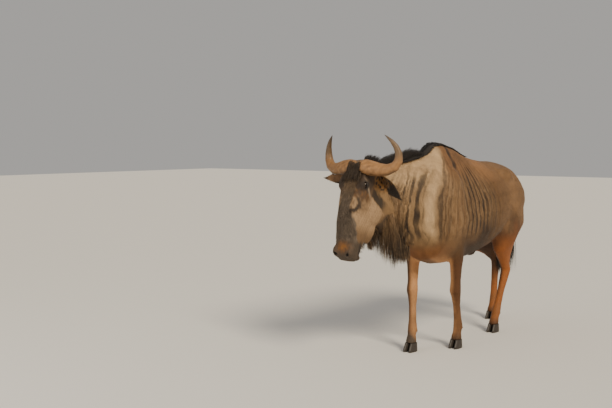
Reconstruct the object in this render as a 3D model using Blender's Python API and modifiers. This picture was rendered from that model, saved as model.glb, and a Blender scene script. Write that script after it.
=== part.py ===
"""A blue wildebeest bull at life size, standing in mid stride with its head hung low.

Lengths are in metres. The animal faces -Y, its left side is +X and +Z is up. The flesh is
lofted from rings, melted into one skin, thinned, and parted by thin cuts into named pieces.
Long hair is built as flat tapered locks, fused node by node.
"""
import math
import random

import bmesh
import bpy
from mathutils import Matrix, Vector
from mathutils.bvhtree import BVHTree

# Driving dimensions, set out from a point on the floor under the withers.
WITHERS_HEIGHT = 1.425
CHEST_FLOOR = 0.60
CROUP_HEIGHT = 1.285
RUMP_BACK = 1.275
CHEST_WIDTH = 0.50
BELLY_WIDTH = 0.55
HIP_WIDTH = 0.51
HEAD_LENGTH = 0.60
GAP = 0.0003

# The pose of the head, from the point midway between the horns.
HORN_SEAT = Vector((-0.184, -0.66, 1.272))
HEAD_PITCH = 73.5
HEAD_YAW = -9.0

# Eyes and hooves.
EYE_RADIUS = 0.021
EYE_PLACE = (0.093, 0.119, 0.003)
CORONET_HEIGHT = 0.060
HOOF_LENGTH = 0.105
HOOF_WIDTH = 0.082
CLEFT_WIDTH = 0.007

# How finely the flesh is melted and how many triangles are left of it.
MELT_SIZE = 0.006
MELT_PASSES = 10
BODY_PASSES = 70
FLESH_TRIANGLES = 4700

# How many triangles are left of each node of long hair once its locks are fused.
HAIR_TRIANGLES = {
    "mane_neck": 1150, "mane_withers": 1150, "forelock": 600, "beard_chin": 500,
    "beard_throat": 850, "tail_tuft": 800,
}

UP = Vector((0, 0, 1))
ACROSS = Vector((1, 0, 0))
SIDES = {"left": 1, "right": -1}

# Colour, roughness and metallic value of each finish.
FINISHES = {
    "coat": ((0.20, 0.135, 0.085), 0.75, 0.0),
    "leg_coat": ((0.24, 0.11, 0.045), 0.75, 0.0),
    "face": ((0.055, 0.045, 0.038), 0.7, 0.0),
    "black_hair": ((0.018, 0.015, 0.014), 0.6, 0.0),
    "beard_hair": ((0.14, 0.11, 0.085), 0.65, 0.0),
    "horn": ((0.20, 0.13, 0.085), 0.45, 0.0),
    "hoof": ((0.045, 0.036, 0.03), 0.45, 0.0),
    "eye": ((0.02, 0.012, 0.008), 0.08, 0.0),
}


def head_frame():
    """The matrix that carries head space, nose along -Y and brow along +Z, to its pose."""
    turn = Matrix.Rotation(math.radians(HEAD_YAW), 4, "Z")
    nod = Matrix.Rotation(math.radians(HEAD_PITCH), 4, "X")
    return Matrix.Translation(HORN_SEAT) @ turn @ nod


def in_head(across, distance, rise):
    """A point from its offset across the head, distance from the horns and rise over the brow."""
    return head_frame() @ Vector((across, -distance, rise))


def head_axes():
    turn = head_frame().to_3x3()
    return turn @ Vector((1, 0, 0)), turn @ Vector((0, -1, 0)), turn @ Vector((0, 0, 1))


def clear_scene():
    for thing in list(bpy.data.objects):
        bpy.data.objects.remove(thing, do_unlink=True)


def collection(name):
    made = bpy.data.collections.new(name)
    bpy.context.scene.collection.children.link(made)
    return made


def finish(name):
    made = bpy.data.materials.get(name)
    if made is None:
        colour, roughness, metallic = FINISHES[name]
        made = bpy.data.materials.new(name)
        made.use_nodes = True
        shader = made.node_tree.nodes["Principled BSDF"]
        shader.inputs["Base Color"].default_value = (*colour, 1.0)
        shader.inputs["Roughness"].default_value = roughness
        shader.inputs["Metallic"].default_value = metallic
    return made


def to_object(name, bm, into):
    """Closes a bmesh into an object with its faces pointing out."""
    bmesh.ops.recalc_face_normals(bm, faces=bm.faces)
    mesh = bpy.data.meshes.new(name)
    bm.to_mesh(mesh)
    bm.free()
    made = bpy.data.objects.new(name, mesh)
    into.objects.link(made)
    return made


def power(value, exponent):
    return math.copysign(abs(value) ** exponent, value)


def ring(bm, sides, centre, side, rise, half_width, above, below, blunt=2.0, sharp=2.0):
    """One closed ring round centre. blunt shapes its lower half and sharp its upper half."""
    made = bmesh.ops.create_circle(bm, segments=sides, radius=1.0)["verts"]
    for vert in made:
        across, up = vert.co.x, vert.co.y
        shape = 2.0 / (sharp if up > 0 else blunt)
        reach = above if up > 0 else below
        vert.co = centre + side * (half_width * power(across, shape)) + rise * (reach * power(up, shape))
    return made


def loft_mesh(bm, rings, sides):
    """Adds a closed skin over rings to a bmesh, each ring the arguments of ring after sides."""
    loops = [ring(bm, sides, *arguments) for arguments in rings]
    hoops = [[edge for edge in {e for vert in loop for e in vert.link_edges}] for loop in loops]
    for first, second in zip(hoops, hoops[1:]):
        bmesh.ops.bridge_loops(bm, edges=first + second)
    for end in (loops[0], loops[-1]):
        bmesh.ops.contextual_create(bm, geom=end)


def loft(name, rings, into, sides=20):
    bm = bmesh.new()
    loft_mesh(bm, rings, sides)
    return to_object(name, bm, into)


def ball(name, centre, radii, into, turn=None, fineness=3):
    """A round form with its own radius along each axis of turn."""
    bm = bmesh.new()
    bmesh.ops.create_icosphere(bm, subdivisions=fineness, radius=1.0)
    scale = Matrix.Diagonal((*radii, 1.0))
    facing = turn.to_4x4() if turn else Matrix.Identity(4)
    bmesh.ops.transform(bm, matrix=Matrix.Translation(centre) @ facing @ scale, verts=bm.verts)
    return to_object(name, bm, into)


def along(points, index):
    """The direction of a path of points at one of them."""
    before = points[max(index - 1, 0)]
    after = points[min(index + 1, len(points) - 1)]
    return (after - before).normalized()


def on_path(points, share):
    """A point part way along a path, and the path's direction there."""
    lengths = [(b - a).length for a, b in zip(points, points[1:])]
    left = share * sum(lengths)
    for index, length in enumerate(lengths):
        if left <= length or index == len(lengths) - 1:
            start, end = points[index], points[index + 1]
            return start.lerp(end, left / length), (end - start).normalized()
        left -= length


def evaluated(thing):
    """Applies an object's modifiers to its mesh."""
    graph = bpy.context.evaluated_depsgraph_get()
    mesh = bpy.data.meshes.new_from_object(thing.evaluated_get(graph))
    thing.modifiers.clear()
    thing.data = mesh
    return thing


def combine(target, other, operation):
    """Joins, cuts or keeps the common part of two closed meshes."""
    modifier = target.modifiers.new("combine", "BOOLEAN")
    modifier.operation = operation
    modifier.solver = "MANIFOLD"
    modifier.object = other
    return evaluated(target)


def islands(bm):
    """The faces of each separate surface of a bmesh."""
    left, found = set(bm.faces), []
    while left:
        reached, edge_of = set(), [left.pop()]
        while edge_of:
            face = edge_of.pop()
            reached.add(face)
            for edge in face.edges:
                for near in edge.link_faces:
                    if near in left:
                        left.remove(near)
                        edge_of.append(near)
        found.append(reached)
    return found


def keep_largest(thing):
    """Drops all but the surface that encloses the most."""
    bm = bmesh.new()
    bm.from_mesh(thing.data)
    bmesh.ops.triangulate(bm, faces=bm.faces)

    def volume(faces):
        corners = [[vert.co for vert in face.verts] for face in faces]
        return sum(a.dot(b.cross(c)) for a, b, c in corners) / 6

    parts = sorted(islands(bm), key=volume)
    for faces in parts[:-1]:
        bmesh.ops.delete(bm, geom=list(faces), context="FACES")
    bm.to_mesh(thing.data)
    bm.free()
    return thing


def triangle_count(thing):
    return sum(len(face.vertices) - 2 for face in thing.data.polygons)


def settle(thing):
    """Merges corners closer than a hundredth of a millimetre where the surface stays closed."""
    bm = bmesh.new()
    bm.from_mesh(thing.data)
    bmesh.ops.triangulate(bm, faces=bm.faces)
    bmesh.ops.remove_doubles(bm, verts=bm.verts, dist=0.00001)
    bmesh.ops.dissolve_degenerate(bm, edges=bm.edges, dist=0.00001)
    bmesh.ops.triangulate(bm, faces=bm.faces)
    if all(edge.is_manifold for edge in bm.edges):
        bm.to_mesh(thing.data)
    bm.free()


def copy_of(thing, name, into):
    made = bpy.data.objects.new(name, thing.data.copy())
    into.objects.link(made)
    return made


def grown(thing, into):
    """A copy that stands proud of the original by the gap that touching pieces keep."""
    made = copy_of(thing, thing.name + "_grown", into)
    modifier = made.modifiers.new("grow", "DISPLACE")
    modifier.strength = GAP * 1.6
    modifier.mid_level = 0.0
    return evaluated(made)


def fused(name, pieces, into):
    """One closed body from overlapping closed pieces, which are then removed."""
    pile = collection(name + "_pieces")
    for piece in pieces[1:]:
        for home in list(piece.users_collection):
            home.objects.unlink(piece)
        pile.objects.link(piece)
    body = pieces[0]
    modifier = body.modifiers.new("fuse", "BOOLEAN")
    modifier.operation = "UNION"
    modifier.operand_type = "COLLECTION"
    modifier.solver = "MANIFOLD"
    modifier.collection = pile
    made = copy_of(evaluated(body), name, into)
    for piece in pieces:
        bpy.data.objects.remove(piece, do_unlink=True)
    bpy.data.collections.remove(pile)
    return keep_largest(made)


def torso(into):
    """Chest, barrel and rump: y, top, bottom, height of the widest place, half width, sharpness above."""
    chest, belly, hip = CHEST_WIDTH / 2, BELLY_WIDTH / 2, HIP_WIDTH / 2
    top, floor, croup = WITHERS_HEIGHT, CHEST_FLOOR, CROUP_HEIGHT
    stations = (
        (-0.33, 1.12, floor + 0.25, 0.96, chest * 0.34, 2.0),
        (-0.27, 1.22, floor + 0.13, 0.94, chest * 0.62, 2.0),
        (-0.17, 1.335, floor + 0.04, 0.92, chest * 0.84, 1.8),
        (-0.04, top - 0.012, floor - 0.005, 0.91, chest * 0.95, 1.6),
        (0.08, top, floor - 0.01, 0.91, chest, 1.5),
        (0.22, top - 0.030, floor, 0.91, chest * 1.02, 1.55),
        (0.38, top - 0.085, floor + 0.010, 0.93, belly * 0.98, 1.7),
        (0.55, croup + 0.022, floor + 0.040, 0.94, belly, 1.85),
        (0.72, croup + 0.006, floor + 0.095, 0.96, belly * 0.95, 2.0),
        (0.87, croup + 0.002, floor + 0.150, 0.98, hip * 0.98, 2.0),
        (1.01, croup - 0.020, floor + 0.19, 1.00, hip * 0.95, 2.0),
        (1.13, croup - 0.080, floor + 0.26, 0.99, hip * 0.82, 2.0),
        (1.22, croup - 0.15, floor + 0.31, 0.99, hip * 0.60, 2.0),
        (RUMP_BACK, croup - 0.23, floor + 0.36, 1.00, hip * 0.30, 2.0),
    )
    rings = []
    for y, high, low, waist, half_width, sharp in stations:
        centre = Vector((0, y, waist))
        rings.append((centre, ACROSS, UP, half_width, high - waist, waist - low, 2.3, sharp))
    loft("torso_form", rings, into)
    # The sheath under the belly, and the bony crest of the croup.
    ball("sheath_form", Vector((0, 0.60, CHEST_FLOOR + 0.035)), (0.030, 0.085, 0.050), into)
    for side in SIDES.values():
        ball("hip_form", Vector((side * 0.145, 0.80, CROUP_HEIGHT - 0.115)), (0.080, 0.13, 0.08), into)
        ball("shoulder_form", Vector((side * 0.135, -0.03, 1.02)), (0.100, 0.17, 0.25), into)
        ball("arm_form", Vector((side * 0.165, -0.02, 0.86)), (0.075, 0.17, 0.13), into)


# Place, half width, reach above and reach below of the neck's rings.
NECK_STATIONS = (
    (Vector((0.0, 0.06, 1.00)), 0.205, 0.36, 0.36),
    (Vector((-0.01, -0.12, 1.01)), 0.190, 0.350, 0.35),
    (Vector((-0.045, -0.28, 1.030)), 0.160, 0.305, 0.29),
    (Vector((-0.095, -0.40, 1.055)), 0.132, 0.255, 0.245),
    (Vector((-0.145, -0.50, 1.085)), 0.112, 0.205, 0.205),
    (Vector((-0.18, -0.585, 1.12)), 0.096, 0.150, 0.150),
)


def neck_frames():
    """Centre, side and rise of each of the neck's rings."""
    points = [station[0] for station in NECK_STATIONS]
    frames = []
    for index, centre in enumerate(points):
        forward = along(points, index)
        side = UP.cross(-forward).normalized()
        frames.append((centre, side, side.cross(-forward).normalized() * -1))
    return frames


def neck(into):
    rings = []
    for (centre, side, rise), (_, half_width, above, below) in zip(neck_frames(), NECK_STATIONS):
        rings.append((centre, side, rise, half_width, above, below, 2.0, 1.75))
    loft("neck_form", rings, into)


# Distance from the horns, half width, top, bottom, height of the widest place and two shapes.
HEAD_STATIONS = (
    (-0.058, 0.064, -0.030, -0.130, -0.06, 2.0, 2.0),
    (-0.025, 0.092, -0.002, -0.170, -0.06, 2.0, 2.4),
    (0.03, 0.107, 0.020, -0.190, -0.06, 2.0, 3.0),
    (0.09, 0.112, 0.034, -0.215, -0.06, 2.2, 3.2),
    (0.15, 0.110, 0.041, -0.240, -0.07, 2.4, 3.4),
    (0.22, 0.101, 0.046, -0.250, -0.08, 2.5, 3.4),
    (0.29, 0.092, 0.046, -0.236, -0.075, 2.4, 3.2),
    (0.36, 0.084, 0.040, -0.208, -0.065, 2.3, 3.0),
    (0.43, 0.078, 0.027, -0.176, -0.06, 2.2, 2.9),
    (0.49, 0.080, 0.010, -0.148, -0.06, 2.2, 2.8),
    (0.545, 0.083, -0.006, -0.126, -0.060, 2.4, 2.6),
    (0.58, 0.073, -0.022, -0.110, -0.062, 2.4, 2.4),
    (HEAD_LENGTH, 0.044, -0.042, -0.088, -0.064, 2.0, 2.0),
)
# Across, distance and rise of a pair of forms on the head, and their radii.
HEAD_FORMS = {
    "orbit": ((0.086, 0.116, 0.008), (0.032, 0.048, 0.032)),
    "cheek": ((0.066, 0.235, -0.155), (0.045, 0.110, 0.094)),
    "jaw": ((0.040, 0.345, -0.172), (0.036, 0.120, 0.054)),
    "horn_root": ((0.055, 0.000, -0.020), (0.055, 0.052, 0.038)),
    "nostril": ((0.053, 0.540, -0.030), (0.034, 0.046, 0.034)),
    "lip": ((0.042, 0.568, -0.076), (0.042, 0.032, 0.026)),
    "chin": ((0.022, 0.545, -0.112), (0.036, 0.036, 0.026)),
}


def head(into):
    """The head's flesh, without horns, ears and eyes."""
    side, _, rise = head_axes()
    rings = []
    for distance, half_width, high, low, waist, blunt, sharp in HEAD_STATIONS:
        centre = in_head(0, distance, waist)
        rings.append((centre, side, rise, half_width, high - waist, waist - low, blunt, sharp))
    loft("head_form", rings, into)
    for name, ((across, distance, lift), radii) in HEAD_FORMS.items():
        for sign in SIDES.values():
            ball(name + "_form", in_head(sign * across, distance, lift), radii, into, head_frame().to_3x3())


# Joints of each leg from the top down: the blade or hip, the shoulder point or stifle, and so on.
LEG_JOINTS = {
    "foreleg_left": ((0.115, 0.10, 1.22), (0.165, -0.12, 0.93), (0.160, 0.05, 0.79),
                     (0.132, 0.095, 0.405), (0.122, 0.160, 0.145), (0.122, 0.135, CORONET_HEIGHT)),
    "foreleg_right": ((-0.115, 0.08, 1.22), (-0.165, -0.16, 0.92), (-0.155, 0.02, 0.79),
                      (-0.112, -0.070, 0.405), (-0.086, -0.113, 0.145), (-0.080, -0.140, CORONET_HEIGHT)),
    "hindleg_left": ((0.125, 0.91, 1.10), (0.170, 0.75, 0.77), (0.158, 0.82, 0.66),
                     (0.138, 0.925, 0.455), (0.122, 0.800, 0.145), (0.118, 0.765, CORONET_HEIGHT)),
    "hindleg_right": ((-0.125, 0.95, 1.10), (-0.165, 0.91, 0.77), (-0.140, 1.07, 0.67),
                      (-0.105, 1.290, 0.480), (-0.100, 1.250, 0.145), (-0.100, 1.215, CORONET_HEIGHT)),
}
# Bone, share of its length, half width across, half depth fore and aft, and set-back of the ring.
FORE_SHAPE = (
    (1, 0.00, 0.070, 0.095, 0.04),
    (1, 0.60, 0.075, 0.115, 0.0),
    (2, 0.05, 0.068, 0.098, 0.0),
    (2, 0.25, 0.055, 0.072, 0.0),
    (2, 0.55, 0.042, 0.050, 0.0),
    (2, 0.82, 0.036, 0.040, 0.0),
    (3, 0.00, 0.041, 0.043, -0.003),
    (3, 0.14, 0.035, 0.037, 0.003),
    (3, 0.40, 0.026, 0.031, 0.003),
    (3, 0.75, 0.027, 0.033, 0.003),
    (4, 0.00, 0.034, 0.039, 0.002),
    (4, 0.45, 0.031, 0.031, 0.0),
    (4, 1.00, 0.038, 0.041, 0.0),
)
HIND_SHAPE = (
    (0, 0.00, 0.095, 0.220, 0.05),
    (0, 0.35, 0.108, 0.250, 0.070),
    (0, 0.70, 0.112, 0.235, 0.085),
    (1, 0.00, 0.100, 0.208, 0.092),
    (1, 0.60, 0.086, 0.168, 0.056),
    (2, 0.10, 0.068, 0.116, 0.016),
    (2, 0.45, 0.048, 0.070, 0.0),
    (2, 0.80, 0.034, 0.048, 0.0),
    (3, 0.00, 0.037, 0.052, 0.004),
    (3, 0.16, 0.033, 0.043, 0.004),
    (3, 0.45, 0.027, 0.034, 0.0),
    (3, 0.80, 0.028, 0.034, 0.0),
    (4, 0.00, 0.034, 0.039, 0.0),
    (4, 0.45, 0.031, 0.032, 0.0),
    (4, 1.00, 0.038, 0.042, 0.0),
)
# Middle, radii and backward lean of the hamstrings behind each thigh, from the seat bone to the calf.
HAMSTRINGS = {
    "hindleg_left": ((0.130, 1.000, 0.815), (0.074, 0.080, 0.180), 40.0),
    "hindleg_right": ((-0.128, 1.140, 0.810), (0.078, 0.085, 0.175), 0.0),
}
# The small claws behind each fetlock: apart from the leg's middle, behind it and above the joint.
DEWCLAW = (0.017, 0.038, -0.014)


def leg(name, into):
    """A leg's flesh from its top joint down to the coronet, where its last ring lies level."""
    joints = [Vector(joint) for joint in LEG_JOINTS[name]]
    shape = FORE_SHAPE if name.startswith("fore") else HIND_SHAPE
    points = [joints[bone].lerp(joints[bone + 1], share) for bone, share, *_ in shape]
    rings = []
    for index, (_, _, half_width, half_depth, set_back) in enumerate(shape):
        down = along(points, index) if index < len(shape) - 1 else -UP
        fore = down.cross(ACROSS).normalized()
        side = fore.cross(down).normalized()
        centre = points[index] + Vector((0, set_back, 0))
        rings.append((centre, side, fore, half_width, half_depth, half_depth))
    loft(name + "_form", rings, into)
    if name in HAMSTRINGS:
        middle, radii, lean = HAMSTRINGS[name]
        ball("hamstring_form", Vector(middle), radii, into, Matrix.Rotation(math.radians(-lean), 3, "X"))
    apart, behind, above = DEWCLAW
    for side in SIDES.values():
        place = joints[4] + Vector((side * apart, behind, above))
        ball("dewclaw_form", place, (0.011, 0.012, 0.017), into, fineness=2)


def melted(forms, into):
    """All forms as one smooth skin, thinned to few triangles."""
    bm = bmesh.new()
    for form in list(forms.objects):
        bm.from_mesh(form.data)
        bpy.data.objects.remove(form, do_unlink=True)
    flesh = to_object("flesh", bm, into)
    remesh = flesh.modifiers.new("melt", "REMESH")
    remesh.mode = "VOXEL"
    remesh.voxel_size = MELT_SIZE
    smooth = flesh.modifiers.new("soften", "SMOOTH")
    smooth.factor = 0.5
    smooth.iterations = MELT_PASSES
    evaluated(flesh)
    level_feet(flesh)
    weigh(flesh, "broad", ((0.0, "head"), (0.0, "leg"), (1.0, "body")))
    broad = flesh.modifiers.new("broad", "SMOOTH")
    broad.factor = 0.5
    broad.iterations = BODY_PASSES
    broad.vertex_group = "broad"
    evaluated(flesh)
    weigh(flesh, "coarse", ((0.42, "head"), (0.36, "leg"), (1.0, "body")))
    thin = flesh.modifiers.new("thin", "DECIMATE")
    thin.ratio = FLESH_TRIANGLES / (2 * len(flesh.data.polygons))
    thin.vertex_group = "coarse"
    thin.vertex_group_factor = 1.0
    return keep_largest(evaluated(flesh))


def weigh(flesh, name, weights):
    """A vertex group with its own weight on the head, the legs and the body, blended between."""
    group = flesh.vertex_groups.new(name=name)
    weight = {region: value for value, region in weights}
    for vert in flesh.data.vertices:
        ahead = min(1.0, max(0.0, (vert.co.y + 0.48) / 0.12))
        raised = min(1.0, max(0.0, (vert.co.z - 0.62) / 0.14))
        low = weight["leg"] + (weight["body"] - weight["leg"]) * raised
        value = weight["head"] + (low - weight["head"]) * ahead
        group.add([vert.index], value, "REPLACE")


def level_feet(flesh):
    """Stretches the softened ends of the legs down past the coronet, where the hooves' cut is made."""
    for vert in flesh.data.vertices:
        if vert.co.z < CORONET_HEIGHT + 0.012:
            vert.co.z -= 0.014


def half_space(point, normal, into):
    """A large block whose face passes through point, on the side that normal points to."""
    bm = bmesh.new()
    bmesh.ops.create_cube(bm, size=6.0)
    turn = normal.to_track_quat("Z", "Y").to_matrix().to_4x4()
    place = Matrix.Translation(point) @ turn @ Matrix.Translation((0, 0, 3.0))
    bmesh.ops.transform(bm, matrix=place, verts=bm.verts)
    return to_object("half_space", bm, into)


def nape_plane():
    """Where the head ends, as a point and the way to the head."""
    nape, throat = in_head(0, -0.075, -0.085), in_head(0, 0.17, -0.262)
    side, _, _ = head_axes()
    normal = side.cross(throat - nape).normalized()
    return nape, normal if normal.y < 0 else -normal


def neck_plane():
    """Where the neck ends, as a point and the way to the neck."""
    crest, brisket = Vector((-0.01, -0.13, 1.36)), Vector((-0.04, -0.34, 0.86))
    normal = Vector((0.93, -0.36, 0)).cross(crest - brisket).normalized()
    return crest, normal if normal.y < 0 else -normal


def chin_plane():
    """Where the hair of the chin ends, as a point and the way to the chin."""
    _, _, rise = head_axes()
    return in_head(0, 0.265, -0.25), Vector((rise.x, rise.y, 0)).normalized()


def withers_plane():
    """Where the mane parts, as a point and the way to the neck."""
    return Vector((0, -0.135, 1.3)), Vector((0, -1, 0))


def backward(plane):
    return plane[0], -plane[1]


def keep_side(thing, plane, scrap):
    """Keeps what lies on the side of a plane that it faces, half a gap short of it."""
    point, normal = plane
    keep_largest(combine(thing, half_space(point + normal * (GAP / 2), normal, scrap), "INTERSECT"))


def leg_block(name, into, proud=0.0):
    """The space under a slanting cut that holds one leg. proud moves each face out."""
    side = 1 if "left" in name else -1
    fore = name.startswith("fore")
    front, back = (-0.42, 0.25) if fore else (0.50, 1.60)
    inner, slope = (0.530, 0.70) if fore else (0.560, 0.60)
    reach = 0.50
    bm = bmesh.new()
    for vert in bmesh.ops.create_cube(bm, size=1.0)["verts"]:
        outer, near, high = vert.co.x * side > 0, vert.co.y < 0, vert.co.z > 0
        across = reach + proud if outer else -proud
        top = inner + slope * across + proud * math.hypot(1, slope)
        vert.co = Vector((
            side * across,
            front - proud if near else back + proud,
            top if high else CORONET_HEIGHT - (proud if proud else 0.0),
        ))
    return to_object(name + "_block", bm, into)


def part_flesh(flesh, cutters, nodes):
    """Parts the skin into legs, torso, neck and head, each GAP from the next."""
    made = {}
    for name in LEG_JOINTS:
        made[name] = copy_of(flesh, name, nodes)
        combine(made[name], leg_block(name, cutters), "INTERSECT")
        keep_largest(made[name])
        combine(flesh, leg_block(name, cutters, GAP), "DIFFERENCE")
    keep_largest(flesh)
    for name, limits in (
        ("torso", [backward(neck_plane())]),
        ("neck", [neck_plane(), backward(nape_plane())]),
        ("head", [nape_plane()]),
    ):
        made[name] = copy_of(flesh, name, nodes)
        for limit in limits:
            keep_side(made[name], limit, cutters)
    return made


def eye_centre(sign):
    across, distance, rise = EYE_PLACE
    return in_head(sign * across, distance, rise)


def eye_turn(sign):
    """Axes of an eye: out of the head, along the lids and across them."""
    side, nose, rise = head_axes()
    out = (side * sign * 0.86 + rise * 0.42 + nose * 0.10).normalized()
    length = (nose * 0.92 + rise * 0.30 * -1)
    length = (length - out * length.dot(out)).normalized()
    return Matrix((out, length, out.cross(length))).transposed()


def carve_head(skull, cutters):
    """Lids, nostrils and the line of the mouth."""
    side, nose, rise = head_axes()
    turn = head_frame().to_3x3()
    for sign in SIDES.values():
        facing = eye_turn(sign)
        out, length, _ = facing.transposed()
        lids = ball("lids", eye_centre(sign), (EYE_RADIUS + 0.0055,) * 3, cutters, fineness=3)
        combine(skull, lids, "UNION")
        slit = ball("slit", eye_centre(sign) + out * 0.026, (0.022, 0.0215, 0.0115), cutters, facing, 2)
        combine(skull, slit, "DIFFERENCE")
        socket = ball("socket", eye_centre(sign), (EYE_RADIUS + 2 * GAP,) * 3, cutters, fineness=3)
        combine(skull, socket, "DIFFERENCE")
        tilt = Matrix.Rotation(sign * math.radians(32), 3, "Y") @ Matrix.Rotation(math.radians(-28), 3, "X")
        hollow = ball("hollow", in_head(sign * 0.056, 0.562, -0.016), (0.015, 0.026, 0.010), cutters, turn @ tilt, 2)
        combine(skull, hollow, "DIFFERENCE")
    bm = bmesh.new()
    for vert in bmesh.ops.create_cube(bm, size=1.0)["verts"]:
        far = vert.co.y < 0
        rise_here = -0.093 if far else -0.086
        thick = 0.0016 if far else 0.0010
        vert.co = Vector((vert.co.x * 0.3, -0.70 if far else -0.475, rise_here + math.copysign(thick, vert.co.z)))
    bmesh.ops.transform(bm, matrix=head_frame(), verts=bm.verts)
    combine(skull, to_object("mouth", bm, cutters), "DIFFERENCE")
    return keep_largest(skull)


def eye(label, nodes):
    sign = SIDES[label]
    return ball("eye_" + label, eye_centre(sign), (EYE_RADIUS,) * 3, nodes, fineness=3)


# Across, distance and rise of the left horn's line, its half height and half thickness.
HORN_STATIONS = (
    (0.011, 0.000, -0.016, 0.026, 0.022),
    (0.026, 0.000, -0.006, 0.044, 0.034),
    (0.062, 0.004, 0.000, 0.052, 0.041),
    (0.112, 0.008, -0.003, 0.050, 0.040),
    (0.168, 0.014, -0.014, 0.043, 0.037),
    (0.225, 0.010, -0.028, 0.037, 0.033),
    (0.270, -0.012, -0.036, 0.033, 0.030),
    (0.294, -0.050, -0.034, 0.029, 0.026),
    (0.297, -0.092, -0.020, 0.024, 0.022),
    (0.284, -0.130, 0.002, 0.019, 0.017),
    (0.260, -0.160, 0.026, 0.013, 0.012),
    (0.230, -0.184, 0.050, 0.007, 0.006),
    (0.216, -0.193, 0.060, 0.003, 0.003),
)


def horn(label, nodes, flesh_grown):
    """A horn from its broad boss at the brow to its tip."""
    sign = SIDES[label]
    points = [in_head(sign * across, distance, rise) for across, distance, rise, *_ in HORN_STATIONS]
    _, _, rise = head_axes()
    rings = []
    for index, (*_, half_height, half_thick) in enumerate(HORN_STATIONS):
        forward = along(points, index)
        down = forward.cross(rise).normalized()
        rings.append((points[index], down, down.cross(forward).normalized(), half_height, half_thick, half_thick))
    made = loft("horn_" + label, rings, nodes, sides=12)
    return keep_largest(combine(made, flesh_grown, "DIFFERENCE"))


# Root in head space, and the way it points as across, distance and rise, for each ear.
EAR_PLACES = {
    "left": ((0.094, 0.058, -0.100), (0.58, 0.48, -0.66)),
    "right": ((-0.094, 0.052, -0.098), (-0.80, 0.18, 0.57)),
}
EAR_LENGTH = 0.200
EAR_HALF_WIDTH = 0.044
EAR_THICKNESS = 0.006


def ear(label, nodes, flesh_grown):
    """A leaf-shaped cup, rolled tight at its root and open towards its tip."""
    (across, distance, lift), pointing = EAR_PLACES[label]
    side, nose, rise = head_axes()
    forward = (side * pointing[0] + nose * pointing[1] + rise * pointing[2]).normalized()
    open_to = (rise * 0.9 + nose * 0.3).normalized()
    open_to = (open_to - forward * open_to.dot(forward)).normalized()
    edge_way = forward.cross(open_to)
    root = in_head(across, distance, lift) - forward * 0.02
    bm = bmesh.new()
    rows, columns = 9, 7
    grid = bmesh.ops.create_grid(bm, x_segments=rows - 1, y_segments=columns - 1, size=0.5)["verts"]
    for vert in grid:
        share, turn = vert.co.x + 0.5, vert.co.y * 2
        width = EAR_HALF_WIDTH * math.sin(math.pi * (0.16 + 0.83 * share ** 0.85)) ** 0.8
        roll = math.radians(150 - 105 * share)
        depth = width * (0.95 - 0.45 * share)
        vert.co = (root + forward * (EAR_LENGTH + 0.02) * share
                   + edge_way * width * math.sin(turn * roll / 2) / max(math.sin(roll / 2), 0.6)
                   - open_to * depth * math.cos(turn * roll / 2))
    made = to_object("ear_" + label, bm, nodes)
    shell = made.modifiers.new("skin", "SOLIDIFY")
    shell.thickness = EAR_THICKNESS
    shell.offset = 0.0
    evaluated(made)
    return keep_largest(combine(made, flesh_grown, "DIFFERENCE"))


def toe(name, label, nodes):
    """One claw of a cloven hoof, flat below and pointed in front."""
    coronet = Vector(LEG_JOINTS[name][-1])
    outward = SIDES[name.split("_")[1]] * (1 if label == "outer" else -1)
    ahead = Vector((0, -1, 0))
    rows = (
        (CORONET_HEIGHT - GAP, 0.0, 0.0195, 0.0175, 0.041, 0.036),
        (0.046, 0.002, 0.0198, 0.0185, 0.046, 0.037),
        (0.014, 0.004, 0.0208, 0.0200, HOOF_LENGTH * 0.60, 0.040),
        (0.0, 0.004, 0.0208, 0.0196, HOOF_LENGTH * 0.60, 0.039),
    )
    rings = []
    for height, forward, apart, half_width, front, back in rows:
        centre = Vector((coronet.x + outward * apart, coronet.y - forward, height))
        rings.append((centre, ACROSS, ahead, half_width, front, back, 2.5, 1.7))
    made = loft("hoof_" + name.replace("leg_", "_") + "_" + label, rings, nodes, sides=12)
    made.data.materials.append(finish("hoof"))
    return made


# The dock's line and its half thickness, hanging close behind the thighs.
TAIL_STATIONS = (
    ((0.0, 1.190, 1.125), 0.034), ((-0.004, 1.252, 1.085), 0.032), ((-0.012, 1.298, 1.010), 0.027),
    ((-0.024, 1.312, 0.920), 0.022), ((-0.036, 1.310, 0.830), 0.018), ((-0.046, 1.304, 0.745), 0.013),
    ((-0.050, 1.300, 0.700), 0.008),
)


def tail(nodes, flesh_grown):
    """The dock, from the rump down into its tuft."""
    points = [Vector(point) for point, _ in TAIL_STATIONS]
    rings = []
    for index, (_, half) in enumerate(TAIL_STATIONS):
        down = along(points, index)
        fore = down.cross(ACROSS).normalized()
        rings.append((points[index], ACROSS, fore, half, half * 0.9, half * 0.9))
    made = loft("tail", rings, nodes, sides=10)
    made = keep_largest(combine(made, flesh_grown, "DIFFERENCE"))
    made.data.materials.clear()
    made.data.materials.append(finish("coat"))
    return made


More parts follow.
